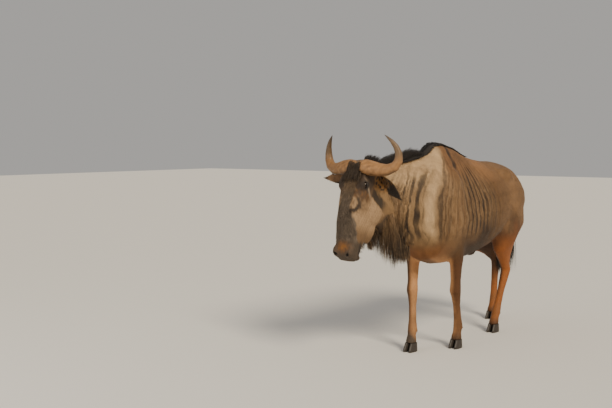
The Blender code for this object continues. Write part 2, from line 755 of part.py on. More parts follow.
class Hair:
    """Makes locks that lie on the flesh, and fuses them with a core into one node."""

    def __init__(self, flesh, scrap, seed):
        bm = bmesh.new()
        bm.from_mesh(flesh.data)
        self.surface = BVHTree.FromBMesh(bm)
        bm.free()
        self.scrap = scrap
        self.dice = random.Random(seed)
        self.pieces = []

    def vary(self, value, share=0.15):
        return value * self.dice.uniform(1 - share, 1 + share)

    def jitter(self, spread):
        return Vector([self.dice.uniform(-spread, spread) for _ in range(3)])

    def above(self, point, lift):
        """A point moved out of the flesh until it is lift clear of it."""
        spot, normal, _, _ = self.surface.find_nearest(point)
        clear = (point - spot).dot(normal)
        return spot + normal * lift if clear < lift else point

    def ground(self, point):
        """The nearest place on the flesh and the way it faces."""
        spot, normal, _, _ = self.surface.find_nearest(point)
        return spot, normal

    def lock(self, root, start, pull, length, half_width, half_thick=0.0035, lift=0.004, steps=4, tip=0.22):
        """A flat tapered lock that sets out one way from its root and is drawn another."""
        start, pull = start.normalized(), pull.normalized()
        points = [root.copy()]
        for step in range(1, steps + 1):
            heading = start.lerp(pull, min(1.0, (step - 0.5) / steps * 1.25)).normalized()
            points.append(self.above(points[-1] + heading * (length / steps), lift))
        _, normal, _, _ = self.surface.find_nearest(points[1])
        widths = [0.62, 1.0, 0.92, 0.66, tip] if steps == 4 else [0.62, 1.0, 1.0, 0.85, 0.55, tip]
        rings = []
        for index, centre in enumerate(points):
            down = along(points, index)
            side = down.cross(normal)
            if side.length < 0.15:
                side = down.cross(ACROSS)
            side.normalize()
            out = side.cross(down).normalized()
            thick = half_thick * (1.0 if index < steps else 0.4)
            rings.append((centre, side, out, half_width * widths[index], thick, thick))
        bm = bmesh.new()
        loft_mesh(bm, rings, 4)
        self.pieces.append(to_object("lock", bm, self.scrap))

    def core(self, points, half_widths, half_depths, sides=8):
        """A smooth body along a path that the locks' roots sink into."""
        rings = []
        for index, centre in enumerate(points):
            down = along(points, index)
            side = down.cross(ACROSS if abs(down.x) < 0.7 else UP)
            side.normalize()
            rings.append((centre, side.cross(down).normalized(), side, half_widths[index],
                          half_depths[index], half_depths[index]))
        self.pieces.insert(0, loft("core", rings, self.scrap, sides))

    def node(self, name, nodes, clear_of, colour):
        made = fused(name, self.pieces, nodes)
        thin = made.modifiers.new("thin", "DECIMATE")
        thin.ratio = min(1.0, HAIR_TRIANGLES[name] / triangle_count(made))
        keep_largest(evaluated(made))
        for other in clear_of:
            combine(made, other, "DIFFERENCE")
        keep_largest(made)
        made.data.materials.clear()
        made.data.materials.append(finish(colour))
        self.pieces = []
        return made


def crest_x(y):
    """How far the middle of the neck lies off the body's own middle at one place along it."""
    stations = [station[0] for station in NECK_STATIONS]
    if y >= stations[0].y:
        return stations[0].x
    for after, before in zip(stations, stations[1:]):
        if y >= before.y:
            share = (y - before.y) / (after.y - before.y)
            return before.x + (after.x - before.x) * share
    return stations[-1].x


def crest_point(surface, y):
    hit, _, _, _ = surface.ray_cast(Vector((crest_x(y), y, 2.5)), Vector((0, 0, -1)))
    return hit


# Node, where it starts and ends along the back, number of rows, hair rise and length of fall.
MANE_PARTS = (
    ("mane_neck", -0.560, -0.145, 10, 0.070, 0.25),
    ("mane_withers", -0.125, 0.420, 12, 0.066, 0.17),
)
# Lean to the left, rise, share of the rise or of the fall, and half width of each lock of a row.
MANE_ROW = (
    (-0.90, 0.50, "fall", 1.00, 0.030),
    (-0.95, 0.75, "fall", 0.62, 0.026),
    (-0.20, 1.00, "rise", 1.35, 0.026),
    (0.55, 0.85, "rise", 1.10, 0.022),
)


def mane(flesh, nodes, scrap, clear_of):
    """Black hair along the crest, standing a little and falling to the right and back."""
    for part, (name, front, back, count, rise, fall) in enumerate(MANE_PARTS):
        hair = Hair(flesh, scrap, 31 + part)
        line = []
        for index in range(9):
            y = front + 0.012 + (back - front - 0.024) * index / 8
            line.append(crest_point(hair.surface, y) + Vector((-0.008, 0, 0.006)))
        sizes = [0.012 + 0.016 * math.sin(math.pi * (0.12 + 0.76 * i / 8)) for i in range(9)]
        hair.core(line, [size * 1.5 for size in sizes], sizes)
        for index in range(count):
            share = (index + 0.5) / count
            y = front + (back - front) * share
            seat = crest_point(hair.surface, y)
            scale = 1.0 - 0.50 * share if part else 0.85 + 0.15 * share
            for lean, lift, kind, portion, half_width in MANE_ROW:
                hanging = kind == "fall"
                length = (fall if hanging else rise) * portion * scale
                root = seat + Vector((lean * 0.010, hair.dice.uniform(-0.010, 0.010), 0.0))
                start = Vector((lean, 0.55, lift)) + hair.jitter(0.12)
                pull = Vector((lean * 0.6, 0.55 if hanging else 1.0, -1.0 if hanging else -0.30)) + hair.jitter(0.10)
                hair.lock(root, start, pull, hair.vary(length, 0.22), hair.vary(half_width, 0.2), 0.005)
        made = hair.node(name, nodes, clear_of, "black_hair")
        if part:
            keep_side(made, backward(withers_plane()), scrap)
        else:
            keep_side(made, withers_plane(), scrap)
            keep_side(made, backward(nape_plane()), scrap)


def forelock(flesh, nodes, scrap, clear_of):
    """Hair between the horns and down the brow."""
    hair = Hair(flesh, scrap, 41)
    side, nose, rise = head_axes()
    places = [(0.0, -0.058, 0.0), (0.0, -0.03, 0.018), (0.0, 0.0, 0.026), (0.0, 0.035, 0.026), (0.0, 0.07, 0.026)]
    line = [hair.ground(in_head(*place))[0] for place in places]
    hair.core(line, [0.016, 0.022, 0.022, 0.024, 0.016], [0.012, 0.016, 0.018, 0.016, 0.010])
    for row, distance in enumerate((-0.040, 0.000, 0.040)):
        for column in range(4):
            across = (column - 1.5) * (0.014 if row < 2 else 0.026)
            root, normal = hair.ground(in_head(across, distance, 0.03))
            start = normal * 0.9 + nose * 0.35 + side * across * 9 + hair.jitter(0.12)
            pull = nose + side * across * 5 + hair.jitter(0.10) - rise * 0.15
            hair.lock(root - normal * 0.002, start, pull, hair.vary(0.100 + 0.015 * row), hair.vary(0.020, 0.2))
    keep_side(hair.node("forelock", nodes, clear_of, "black_hair"), nape_plane(), scrap)


def beard(flesh, nodes, scrap, clear_of):
    """Hair of the chin and of the throat, down to the front of the chest."""
    side, nose, rise = head_axes()
    hair = Hair(flesh, scrap, 51)
    line = [hair.ground(in_head(0, distance, -0.22))[0] for distance in (0.34, 0.39, 0.44, 0.49, 0.53)]
    hair.core(line, [0.020, 0.026, 0.028, 0.026, 0.016], [0.012, 0.018, 0.020, 0.018, 0.012])
    for row in range(6):
        distance = 0.345 + 0.036 * row
        for column in range(3):
            across = (column - 1 + 0.25 * (row % 2)) * 0.022
            root, normal = hair.ground(in_head(across, distance, -0.22))
            start = normal * 0.8 - UP * 0.6 + side * across * 8 + hair.jitter(0.12)
            pull = -UP + normal * 0.30 + hair.jitter(0.08)
            hair.lock(root - normal * 0.003, start, pull, hair.vary(0.115, 0.2), hair.vary(0.024, 0.2), 0.005)
    keep_side(hair.node("beard_chin", nodes, clear_of, "beard_hair"), chin_plane(), scrap)
    hair = Hair(flesh, scrap, 52)
    throat, chest = in_head(0, 0.215, -0.27), Vector((-0.045, -0.345, 0.74))
    line = []
    for index in range(9):
        line.append(hair.ground(throat.lerp(chest, index / 8) + Vector((0, 0, -0.06)))[0])
    hair.core(line, [0.014, 0.020, 0.024, 0.026, 0.026, 0.026, 0.024, 0.020, 0.012],
              [0.012, 0.018, 0.022, 0.024, 0.024, 0.024, 0.022, 0.016, 0.010])
    for row in range(9):
        share = (row + 0.5) / 9
        for column in range(4):
            across = (column - 1.5 + 0.3 * (row % 2)) * 0.024
            middle = throat.lerp(chest, share) + Vector((across * 1.4, 0, -0.06 + abs(across) * 0.6))
            root, normal = hair.ground(middle)
            start = normal * 0.5 - UP * 0.8 + Vector((across * 8, 0, 0)) + hair.jitter(0.12)
            pull = -UP + Vector((across * 1.5, 0.08, 0)) + hair.jitter(0.08)
            long = 0.125 + 0.07 * math.sin(math.pi * min(1.0, share * 1.15))
            hair.lock(root - normal * 0.003, start, pull, hair.vary(long, 0.2), hair.vary(0.028, 0.2), 0.005)
    keep_side(hair.node("beard_throat", nodes, clear_of, "beard_hair"), backward(chin_plane()), scrap)


def tail_tuft(flesh, nodes, scrap, clear_of):
    """The long black hair of the tail."""
    hair = Hair(flesh, scrap, 61)
    dock = [Vector(point) for point, _ in TAIL_STATIONS]
    low = dock[-1]
    line = [dock[3], dock[4], dock[5], low - UP * 0.05, low - UP * 0.12, low - UP * 0.19]
    hair.core(line, [0.018, 0.023, 0.027, 0.029, 0.025, 0.010], [0.018, 0.022, 0.026, 0.028, 0.024, 0.010])
    for index in range(22):
        share = index / 21
        centre, _ = on_path(dock[3:] + [low - UP * 0.10], share)
        angle = index * 2.39996
        out = Vector((math.cos(angle), math.sin(angle), 0))
        start = out * 0.45 - UP + hair.jitter(0.06)
        pull = -UP + out * 0.01 + Vector((0.0, -0.04, 0)) + hair.jitter(0.04)
        reach = centre.z - 0.345 - 0.06 * (1 - share)
        hair.lock(centre + out * 0.008, start, pull, hair.vary(reach, 0.08), hair.vary(0.021, 0.2), 0.006, 0.004, 5)
    hair.node("tail_tuft", nodes, clear_of, "black_hair")


def paint(node, colour):
    node.data.materials.clear()
    node.data.materials.append(finish(colour))


def centre_on_floor(nodes):
    """Moves everything so that the origin lies on the floor under the middle of the whole."""
    corners = [vert.co for node in nodes.objects for vert in node.data.vertices]
    low = Vector([min(corner[axis] for corner in corners) for axis in range(3)])
    high = Vector([max(corner[axis] for corner in corners) for axis in range(3)])
    shift = Vector((-(low.x + high.x) / 2, -(low.y + high.y) / 2, -low.z))
    for node in nodes.objects:
        node.data.transform(Matrix.Translation(shift))
        settle(node)
    return shift


def main():
    clear_scene()
    forms, scrap, nodes = collection("forms"), collection("scrap"), collection("wildebeest")
    torso(forms)
    neck(forms)
    head(forms)
    for name in LEG_JOINTS:
        leg(name, forms)
    flesh = melted(forms, scrap)
    whole = copy_of(flesh, "whole", scrap)
    flesh_grown = grown(flesh, scrap)
    made = part_flesh(flesh, scrap, nodes)
    carve_head(made["head"], scrap)
    for name, node in made.items():
        paint(node, "leg_coat" if "leg" in name else "face" if name == "head" else "coat")
    beside = []
    for label in SIDES:
        paint(eye(label, nodes), "eye")
        horn_made = horn(label, nodes, flesh_grown)
        paint(horn_made, "horn")
        beside.append(grown(horn_made, scrap))
    for label in SIDES:
        ear_made = ear(label, nodes, flesh_grown)
        keep_largest(combine(ear_made, beside[list(SIDES).index(label)], "DIFFERENCE"))
        paint(ear_made, "coat")
        beside.append(grown(ear_made, scrap))
    for name in LEG_JOINTS:
        for label in ("inner", "outer"):
            toe(name, label, nodes)
    dock = tail(nodes, flesh_grown)
    forelock(whole, nodes, scrap, [flesh_grown] + beside)
    mane(whole, nodes, scrap, [flesh_grown] + beside)
    beard(whole, nodes, scrap, [flesh_grown])
    tail_tuft(whole, nodes, scrap, [flesh_grown, grown(dock, scrap)])
    for thing in list(scrap.objects):
        bpy.data.objects.remove(thing, do_unlink=True)
    return centre_on_floor(nodes)


if __name__ == "__main__":
    main()
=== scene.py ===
"""The wildebeest's skin, coat, long hair, horns, hooves and eyes, with floor, light and camera."""

import math

import bmesh
import bpy
import numpy as np
from mathutils import Matrix, Vector
from mathutils.bvhtree import BVHTree


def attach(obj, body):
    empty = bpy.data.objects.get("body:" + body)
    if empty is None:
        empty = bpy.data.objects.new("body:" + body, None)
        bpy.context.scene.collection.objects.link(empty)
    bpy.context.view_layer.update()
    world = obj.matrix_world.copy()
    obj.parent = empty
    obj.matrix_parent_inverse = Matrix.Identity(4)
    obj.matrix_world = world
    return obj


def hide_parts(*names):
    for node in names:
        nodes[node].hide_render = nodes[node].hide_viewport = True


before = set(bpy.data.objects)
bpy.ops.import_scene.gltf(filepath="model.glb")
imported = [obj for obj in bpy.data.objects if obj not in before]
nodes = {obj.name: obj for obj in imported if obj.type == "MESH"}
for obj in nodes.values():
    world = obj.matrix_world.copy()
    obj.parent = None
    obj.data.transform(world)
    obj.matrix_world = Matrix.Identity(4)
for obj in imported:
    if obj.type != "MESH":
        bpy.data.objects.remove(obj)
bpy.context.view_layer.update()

# The point on the floor under the withers, and the pose of the head, as the solids have them.
BODY = np.array((0.1104, -0.2818, 0.0))
HORN_SEAT = np.array((-0.184, -0.66, 1.272))
HEAD_PITCH, HEAD_YAW = 73.5, -9.0
EYE_RADIUS = 0.021
EYE_PLACE = (0.093, 0.119, 0.003)
NOSTRIL_PLACE = (0.054, 0.562, -0.020)
MOUTH_RISE = -0.089
# Where the legs end and the neck starts, and the lowest hair above the hooves.
LEG_TOP, NECK_START, HOOF_TOP = 0.60, -0.16, 0.062
# Edges of the grids that the skin, ears, horns and hooves are melted on, and the skin's triangles.
SKIN_GRID, EAR_GRID, HORN_GRID, HOOF_GRID = 0.0043, 0.0026, 0.0030, 0.0022
SKIN_TRIANGLES = 150000
# Width of a hair's patch in the map OFBake, how soon long hair turns to its pull, and a spiral's step.
PATCH, SAG, GOLDEN_ANGLE = 0.0024, 1.3, 2.39996
TAIL_LOCKS = 150
# Degrees from the middle of the eye to its corner.
LID_CORNER = 79

HEAD_TURN = np.array((Matrix.Rotation(math.radians(HEAD_YAW), 3, "Z")
                      @ Matrix.Rotation(math.radians(HEAD_PITCH), 3, "X")))
SIDE, NOSE, RISE = HEAD_TURN @ (1, 0, 0), HEAD_TURN @ (0, -1, 0), HEAD_TURN @ (0, 0, 1)
UP = np.array((0.0, 0.0, 1.0))
SIDES = {"left": 1, "right": -1}
dice = np.random.default_rng(11)


def in_head(across, distance, rise):
    """A point of the row from its offset across the head, distance from the horns and rise."""
    return BODY + HORN_SEAT + SIDE * across + NOSE * distance + RISE * rise


def head_space(points):
    """Across, distance and rise of points of the row."""
    away = points - (BODY + HORN_SEAT)
    return away @ SIDE, away @ NOSE, away @ RISE


def smooth(value, low, high):
    """0 below low, 1 above high, and an even curve between."""
    share = np.clip((value - low) / (high - low), 0.0, 1.0)
    return share * share * (3 - 2 * share)


def fade(value, low, high):
    """1 below low, 0 above high, and an even curve between."""
    return 1 - smooth(value, low, high)


def window(value, low, high, edge):
    """1 between low and high, and 0 outside, with soft edges."""
    return smooth(value, low - edge, low + edge) * fade(value, high - edge, high + edge)


def unit(vectors):
    """Vectors of length 1."""
    return vectors / np.maximum(np.linalg.norm(vectors, axis=-1, keepdims=True), 1e-9)


def laid(ways, normals):
    """Directions laid flat on a surface."""
    return unit(ways - normals * (ways * normals).sum(1, keepdims=True))


def draws(low, high, things):
    """One even random number for each thing."""
    return dice.uniform(low, high, len(things))


def waves(points, scale, seed, count=9):
    """Smooth noise between about -1 and 1, from a sum of waves of one rough length."""
    rolls = np.random.default_rng(seed)
    ways = unit(rolls.normal(size=(count, 3))) * rolls.uniform(0.6, 1.6, (count, 1)) * 2 * math.pi / scale
    phases = rolls.uniform(0, 2 * math.pi, count)
    return np.sin(points @ ways.T + phases).sum(axis=1) / math.sqrt(count)


def headward(points):
    """1 on the head and 0 behind the nape."""
    nape, throat = in_head(0, -0.075, -0.085), in_head(0, 0.17, -0.262)
    normal = np.cross(SIDE, throat - nape)
    normal = normal / np.linalg.norm(normal)
    if normal[1] > 0:
        normal = -normal
    return smooth((points - nape) @ normal, -0.02, 0.02)


# Colours of the coat, as linear light.
TONES = {
    "side": (0.100, 0.049, 0.017), "neck": (0.215, 0.125, 0.055), "pale": (0.500, 0.335, 0.180),
    "shoulder": (0.138, 0.071, 0.028), "stripe": (0.022, 0.013, 0.008), "back": (0.245, 0.118, 0.045),
    "rump": (0.185, 0.098, 0.041), "belly_and_shade": (0.034, 0.016, 0.007), "chest": (0.200, 0.074, 0.018),
    "fore_leg": (0.400, 0.195, 0.078), "fore_out": (0.084, 0.032, 0.009), "hind_leg": (0.270, 0.082, 0.014),
    "shank": (0.170, 0.078, 0.028), "forehead": (0.150, 0.100, 0.060), "face": (0.118, 0.088, 0.064),
    "cheek": (0.315, 0.200, 0.108), "jaw": (0.120, 0.065, 0.028), "muzzle": (0.062, 0.043, 0.029),
    "dust": (0.220, 0.088, 0.018), "brow": (0.048, 0.030, 0.019), "under_eye": (0.062, 0.030, 0.014),
    "streak": (0.260, 0.190, 0.130), "black": (0.018, 0.014, 0.012), "dark_hair_and_shade": (0.050, 0.034, 0.022),
    "inner_ear": (0.330, 0.190, 0.105), "tuft": (0.290, 0.130, 0.030),
}
TONES = {name: np.array(tone) for name, tone in TONES.items()}
# Place along the body, half width and strength of the dark stripes.
STRIPES = (
    (-0.610, 0.009, 0.60), (-0.560, 0.010, 0.75), (-0.533, 0.004, 0.60), (-0.508, 0.011, 0.80),
    (-0.482, 0.004, 0.70), (-0.457, 0.011, 0.95), (-0.431, 0.005, 0.80), (-0.405, 0.013, 1.00),
    (-0.352, 0.019, 1.00), (-0.316, 0.005, 0.55), (-0.205, 0.016, 0.75), (-0.172, 0.005, 0.50),
    (-0.140, 0.012, 0.50), (-0.075, 0.009, 0.40), (-0.012, 0.010, 0.45), (0.022, 0.005, 0.40),
    (0.060, 0.011, 0.60), (0.122, 0.013, 0.85), (0.150, 0.004, 0.55), (0.182, 0.014, 1.00),
    (0.238, 0.012, 0.90), (0.264, 0.004, 0.50), (0.290, 0.014, 0.95), (0.340, 0.012, 0.70),
    (0.395, 0.011, 0.55), (0.425, 0.004, 0.35), (0.455, 0.011, 0.45), (0.520, 0.010, 0.30),
)


def blend(under, over, mask):
    """One colour laid over another by a mask for each point."""
    return under + (over - under) * mask[:, None]


class Paint:
    """Colours of points, with one tone laid over another."""

    def __init__(self, tone, points, level=1.0):
        self.colour = np.tile(TONES[tone] * level, (len(points), 1))

    def over(self, tone, mask, level=1.0):
        self.colour = blend(self.colour, TONES[tone] * level, mask)

    def shade(self, level):
        self.colour = self.colour * level[:, None]


def band_place(points):
    """Where along the body the stripe through each point starts. Stripes spread from the withers."""
    x, y, z = (points - BODY).T
    neck = smooth(-y, 0.10, 0.30)
    gather = 0.75 * np.clip((z - 1.0) / 0.42, 0, 1) ** 1.5 * (1 - 0.5 * smooth(-y, 0.20, 0.35))
    place = (y - 0.10 * gather) / (1 - gather)
    place = place - 0.07 * smooth(0.90 - z, 0, 0.15) * smooth(-y, 0.15, 0.25)
    place = place + neck * (0.25 * (x - crest_x(y)) - 0.030)
    return place + 0.008 * waves(points, 0.22, 3) + 0.0025 * waves(points, 0.06, 4)


def crest_x(y):
    """How far the middle of the neck lies off the body's own middle at places along it."""
    return np.interp(y, (-0.585, -0.50, -0.40, -0.28, -0.12, 0.06), (-0.18, -0.145, -0.095, -0.045, -0.01, 0.0))


def stripes(points):
    """How dark the upright stripes are at each point."""
    place = band_place(points)
    z = points[:, 2]
    width = 0.85 + 0.25 * waves(points, 0.13, 5)
    dark = np.zeros(len(points))
    for index, (seat, half, strength) in enumerate(STRIPES):
        top = 1.13 + 0.02 * (index % 3) if seat < -0.25 else 1.28 + 0.03 * (index % 2)
        ends = smooth(z, 0.70 + 0.03 * (index % 3), 0.84) * fade(z, top, top + 0.13)
        line = fade(np.abs(place - seat) / (half * width), 0.70, 1.20)
        dark = np.maximum(dark, line * strength * ends)
    x, y, _ = (points - BODY).T
    fringe = np.abs(y - 0.105 + 0.35 * (1.42 - z) + 0.004 * waves(points, 0.1, 20)) / 0.023
    dark = np.maximum(dark, fade(fringe, 0.6, 1.2) * smooth(z, 1.20, 1.28))
    return np.clip(dark * (0.90 + 0.20 * waves(points, 0.11, 6)), 0, 1)


def nostril(across, distance, rise, sign):
    """How far each point of the head is from a nostril's middle, 1 at its rim. The nostril slants outward."""
    off, ahead, up = across * sign - NOSTRIL_PLACE[0], distance - NOSTRIL_PLACE[1], rise - NOSTRIL_PLACE[2]
    slant = 0.80 * off - 0.60 * ahead
    cross = 0.60 * off + 0.80 * ahead + 0.25 * (slant / 0.018) ** 2 * 0.018
    return np.sqrt((slant / 0.019) ** 2 + (cross / 0.0085) ** 2 + (up / 0.022) ** 2)


def face_colour(points):
    """The head's markings."""
    across, distance, rise = head_space(points)
    signed, across = across, np.abs(across)
    ragged = waves(points, 0.035, 12)
    face = Paint("cheek", points)
    face.shade(1 + 0.10 * waves(points, 0.018, 13))
    low_jaw = np.maximum(smooth(distance, 0.34, 0.44), smooth(-rise, 0.185, 0.235))
    face.over("jaw", 0.85 * low_jaw)
    face.over("jaw", 0.45 * window(distance, 0.20, 0.29, 0.03) * smooth(rise, -0.10, -0.04))
    under_jaw = smooth(-rise - 0.06 * np.abs(distance - 0.3), 0.218, 0.240)
    face.over("dark_hair_and_shade", 0.75 * under_jaw)
    # The brown of the poll, and painted shade in a dark wedge behind the cheek, between the jaw and the neck.
    back_edge = np.interp(-rise, (0.0, 0.02, 0.07, 0.14, 0.21, 0.26), (0.12, 0.144, 0.177, 0.212, 0.247, 0.262))
    behind = smooth(back_edge - distance + 0.004 * ragged, -0.006, 0.008) * smooth(-rise, 0.045, 0.075)
    face.over("neck", behind, 1.1)
    shade_wedge = fade(back_edge - distance + 0.008 * ragged, 0.045, 0.075) * (1 - 0.8 * smooth(-rise, 0.17, 0.22))
    face.over("dark_hair_and_shade", behind * shade_wedge, 0.8)
    specks = fade(distance, 0.10, 0.14) * window(-rise, 0.055, 0.19, 0.02)
    face.over("tuft", 0.8 * specks, 0.75)
    face.over("black", specks * smooth(waves(points, 0.028, 22), 0.1, 0.7))
    # Above, round and under the eye.
    upper = fade(distance + 0.012 * ragged, 0.190, 0.245) * smooth(rise + 0.006 * ragged, -0.085, -0.040)
    face.over("under_eye", upper * 0.9)
    face.over("tuft", 0.40 * upper * smooth(waves(points * (1, 1, 0.5), 0.022, 14), -0.1, 0.9), 0.6)
    face.over("brow", upper * fade(distance + 0.01 * ragged, 0.140, 0.180))
    slant = rise + 0.030 + (distance - 0.144) * 0.7
    face.over("streak", 0.9 * np.exp(-(slant / 0.008) ** 2) * window(distance, 0.085, 0.185, 0.02))
    # The dark front of the face.
    width = np.interp(distance, (0, 0.10, 0.20, 0.30, 0.34, 0.38, 0.46),
                      (0.058, 0.050, 0.045, 0.052, 0.070, 0.088, 0.14))
    edge = np.interp(distance, (0.27, 0.31, 0.34, 0.38, 0.43, 0.48, 0.51),
                     (-0.04, 0.010, 0.006, -0.012, -0.036, -0.052, -0.2))
    front = (smooth(width - across + 0.004 * ragged, -0.007, 0.006)
             * smooth(rise - edge + 0.004 * ragged, -0.008, 0.006))
    tone = blend(TONES["forehead"], TONES["face"], smooth(distance, 0.10, 0.25))
    tone = tone * (1 + 0.16 * waves(points, 0.05, 17))[:, None]
    face.colour = blend(face.colour, tone, front)
    # The gland in front of the eye: a pale patch with a dark ring under it.
    out, down = across - 0.059, distance - 0.240
    gland = np.sqrt((out / 0.80) ** 2 + (down * 0.62) ** 2) + 0.0025 * waves(points, 0.025, 23)
    lower = smooth((out * 0.9 + down * 0.5) / np.maximum(gland, 1e-4), -0.45, 0.35)
    face.over("brow", fade(gland, 0.032, 0.046) * lower, 0.7)
    face.over("cheek", fade(gland, 0.016, 0.029), 0.95)
    face.over("under_eye", 0.5 * fade(gland, 0.004, 0.014))
    eye_off = np.sqrt((across - EYE_PLACE[0]) ** 2 + (distance - EYE_PLACE[1]) ** 2 + (rise - EYE_PLACE[2]) ** 2)
    face.over("black", fade(eye_off, 0.024, 0.038))
    # Muzzle, nose, lips and nostrils.
    face.over("muzzle", smooth(distance + 0.004 * ragged, 0.455, 0.495))
    dust = np.exp(-((distance - 0.520) / 0.030) ** 2 - ((signed - 0.008) / 0.042) ** 2) * smooth(rise, -0.04, -0.015)
    face.over("dust", np.clip(1.25 * dust * (0.85 + 0.25 * waves(points, 0.022, 15)), 0, 1))
    lips = np.exp(-((rise - MOUTH_RISE) / 0.009) ** 2) * smooth(distance, 0.44, 0.49)
    face.over("black", 0.9 * lips)
    face.over("jaw", 0.5 * smooth(distance, 0.585, 0.60) * window(rise, -0.075, -0.05, 0.01), 0.8)
    # The nostrils darkened: their own dark skin, and painted shade in their hollows.
    for sign in SIDES.values():
        face.over("black", fade(nostril(signed, distance, rise, sign), 0.8, 1.15), 0.6)
    return face.colour


def leg_axis(points):
    """How far outside its own leg's axis each point is."""
    x, y, z = (points - BODY).T
    left = np.interp(z, (0.06, 0.40, 0.80), (0.122, 0.132, 0.160))
    right = np.interp(z, (0.06, 0.40, 0.80), (0.080, 0.112, 0.155))
    return np.where(x > 0, x - left, -x - right)


def markings(points):
    """The coat's colour at each point of the row."""
    x, y, z = (points - BODY).T
    place = band_place(points)
    coat = Paint("side", points)
    coat.over("shoulder", fade(place, 0.0, 0.15))
    coat.over("back", smooth(z, 1.08, 1.26) * smooth(y, 0.1, 0.4))
    coat.over("back", smooth(z, 1.12, 1.28) * fade(y, 0.1, 0.4), 0.85)
    coat.over("rump", smooth(y, 0.42, 0.78))
    coat.over("neck", fade(place, -0.30, -0.20))
    # A pale band down the front of the shoulder: painted highlight where the shoulder's curve meets the light. Above
    # it, the top of the neck is paler.
    pale = np.exp(-((place + 0.272) / 0.040) ** 2) * smooth(z, 0.74, 0.86)
    pale = np.maximum(pale, fade(place, -0.26, -0.14) * smooth(z, 1.08, 1.24) * 0.85)
    coat.over("pale", np.clip(pale * (1 + 0.2 * waves(points, 0.12, 7)), 0, 1))
    thin = 0.5 + 0.5 * np.sin(place * 2 * math.pi / 0.019 + 1.5 * waves(points, 0.12, 10))
    coat.over("pale", 0.24 * thin * window(z, 0.80, 1.20, 0.08) * fade(place, 0.35, 0.6))
    # Darker low on the sides and under the belly: the belly's own dark brown, deepened with painted shade under the
    # body.
    low_side = fade(z - 0.05 * waves(points, 0.3, 11), 0.72, 0.90)
    coat.over("belly_and_shade", low_side * smooth(y, -0.10, 0.15) * 0.95)
    coat.over("chest", fade(z, 0.68, 0.78) * fade(y, -0.25, 0.0))
    coat.over("stripe", 0.95 * stripes(points))
    crest = np.exp(-((x - crest_x(y)) / 0.020) ** 2) * smooth(z, 1.15, 1.25) * fade(y, 0.45, 0.60)
    coat.over("black", crest)
    coat.shade(1 + 0.09 * waves(points, 0.045, 8) + 0.10 * waves(points, 0.35, 9))
    # Legs: dark outside and bright in front, and orange behind.
    beside = window(y, -0.17, 0.17, 0.04) * smooth(np.abs(x), 0.045, 0.085)
    low = fade(z, 0.59, 0.71) * (1 - smooth(z, 0.54, 0.60) * (1 - beside))
    hind = smooth(y, 0.35, 0.55)
    fore = blend(TONES["fore_leg"] * (0.90 + 0.38 * smooth(z, 0.36, 0.50))[:, None], TONES["fore_out"],
                 smooth(leg_axis(points), -0.018, 0.014) * (0.85 + 0.15 * smooth(z, 0.15, 0.45)))
    coat.colour = blend(coat.colour, fore, low * (1 - hind))
    quarter = fade(z - 0.30 * (y - 0.85) + 0.02 * waves(points, 0.15, 18), 0.60, 0.86)
    coat.over("hind_leg", quarter * hind)
    # Painted shade on the inner sides of the hind legs, in the belly's dark tone.
    inward = smooth(-np.where(x > 0, x - 0.135, -x - 0.128), -0.010, 0.014) * smooth(z, 0.22, 0.46)
    coat.over("belly_and_shade", 0.92 * inward * quarter * hind)
    coat.over("shank", 0.5 * fade(z, 0.18, 0.40) * (0.6 + 0.4 * waves(points, 0.1, 19)))
    # Painted shade between the hind legs, under the flank.
    thigh_gap_shade = smooth(0.07 - np.abs(x), 0, 0.03) * smooth(z, 0.45, 0.6) * fade(z, 0.75, 0.85) * smooth(y, 0.0, 0.3)
    coat.over("belly_and_shade", 0.8 * thigh_gap_shade, 0.8)
    coat.over("belly_and_shade", 0.75 * fade(z, 0.060, 0.125))
    return np.clip(blend(coat.colour, face_colour(points), headward(points)), 0.004, 1.0)


def lie_of_coat(points):
    """The way the short hair lies at each point, not yet laid on the skin."""
    x, y, z = (points - BODY).T
    high = smooth(z, 1.05, 1.32)
    body = np.stack([0 * x, 0.26 + 0.72 * high, -0.95 + 0.55 * high], 1)
    way = blend(body, np.array((0.06, 0.28, -0.95)), fade(y, -0.35, -0.1))
    way = blend(way, np.array((0.0, 0.08, -1.0)), fade(z, 0.56, 0.74))
    across, distance, rise = head_space(points)
    front = smooth(rise, -0.05, -0.01)
    cheek = 0.55 * NOSE - 0.75 * RISE
    brow = 0.95 * NOSE + 0.25 * np.sign(across)[:, None] * SIDE
    return unit(blend(way, blend(cheek, brow, front), headward(points)))


def put(node, **values):
    """Sets a node's inputs, with an underscore for each space in their names."""
    for name, value in values.items():
        node.inputs[name.replace("_", " ")].default_value = value


def add_node(parts, kind, **values):
    node = parts.new("ShaderNode" + kind)
    put(node, **values)
    return node


def material(name, roughness, sheen=0.0):
    """A new material with its nodes, links and shader."""
    made = bpy.data.materials.new(name)
    made.use_nodes = True
    parts = made.node_tree.nodes
    shader = parts["Principled BSDF"]
    put(shader, Roughness=roughness, Specular_IOR_Level=0.35)
    if sheen:
        put(shader, Sheen_Weight=sheen, Sheen_Roughness=0.45, Sheen_Tint=(0.8, 0.72, 0.62, 1))
    return made, parts, made.node_tree.links, shader


def coat_colour(parts):
    """Reads the surface's own Coat attribute."""
    coat = add_node(parts, "Attribute")
    coat.attribute_name = "Coat"
    return coat.outputs["Color"]


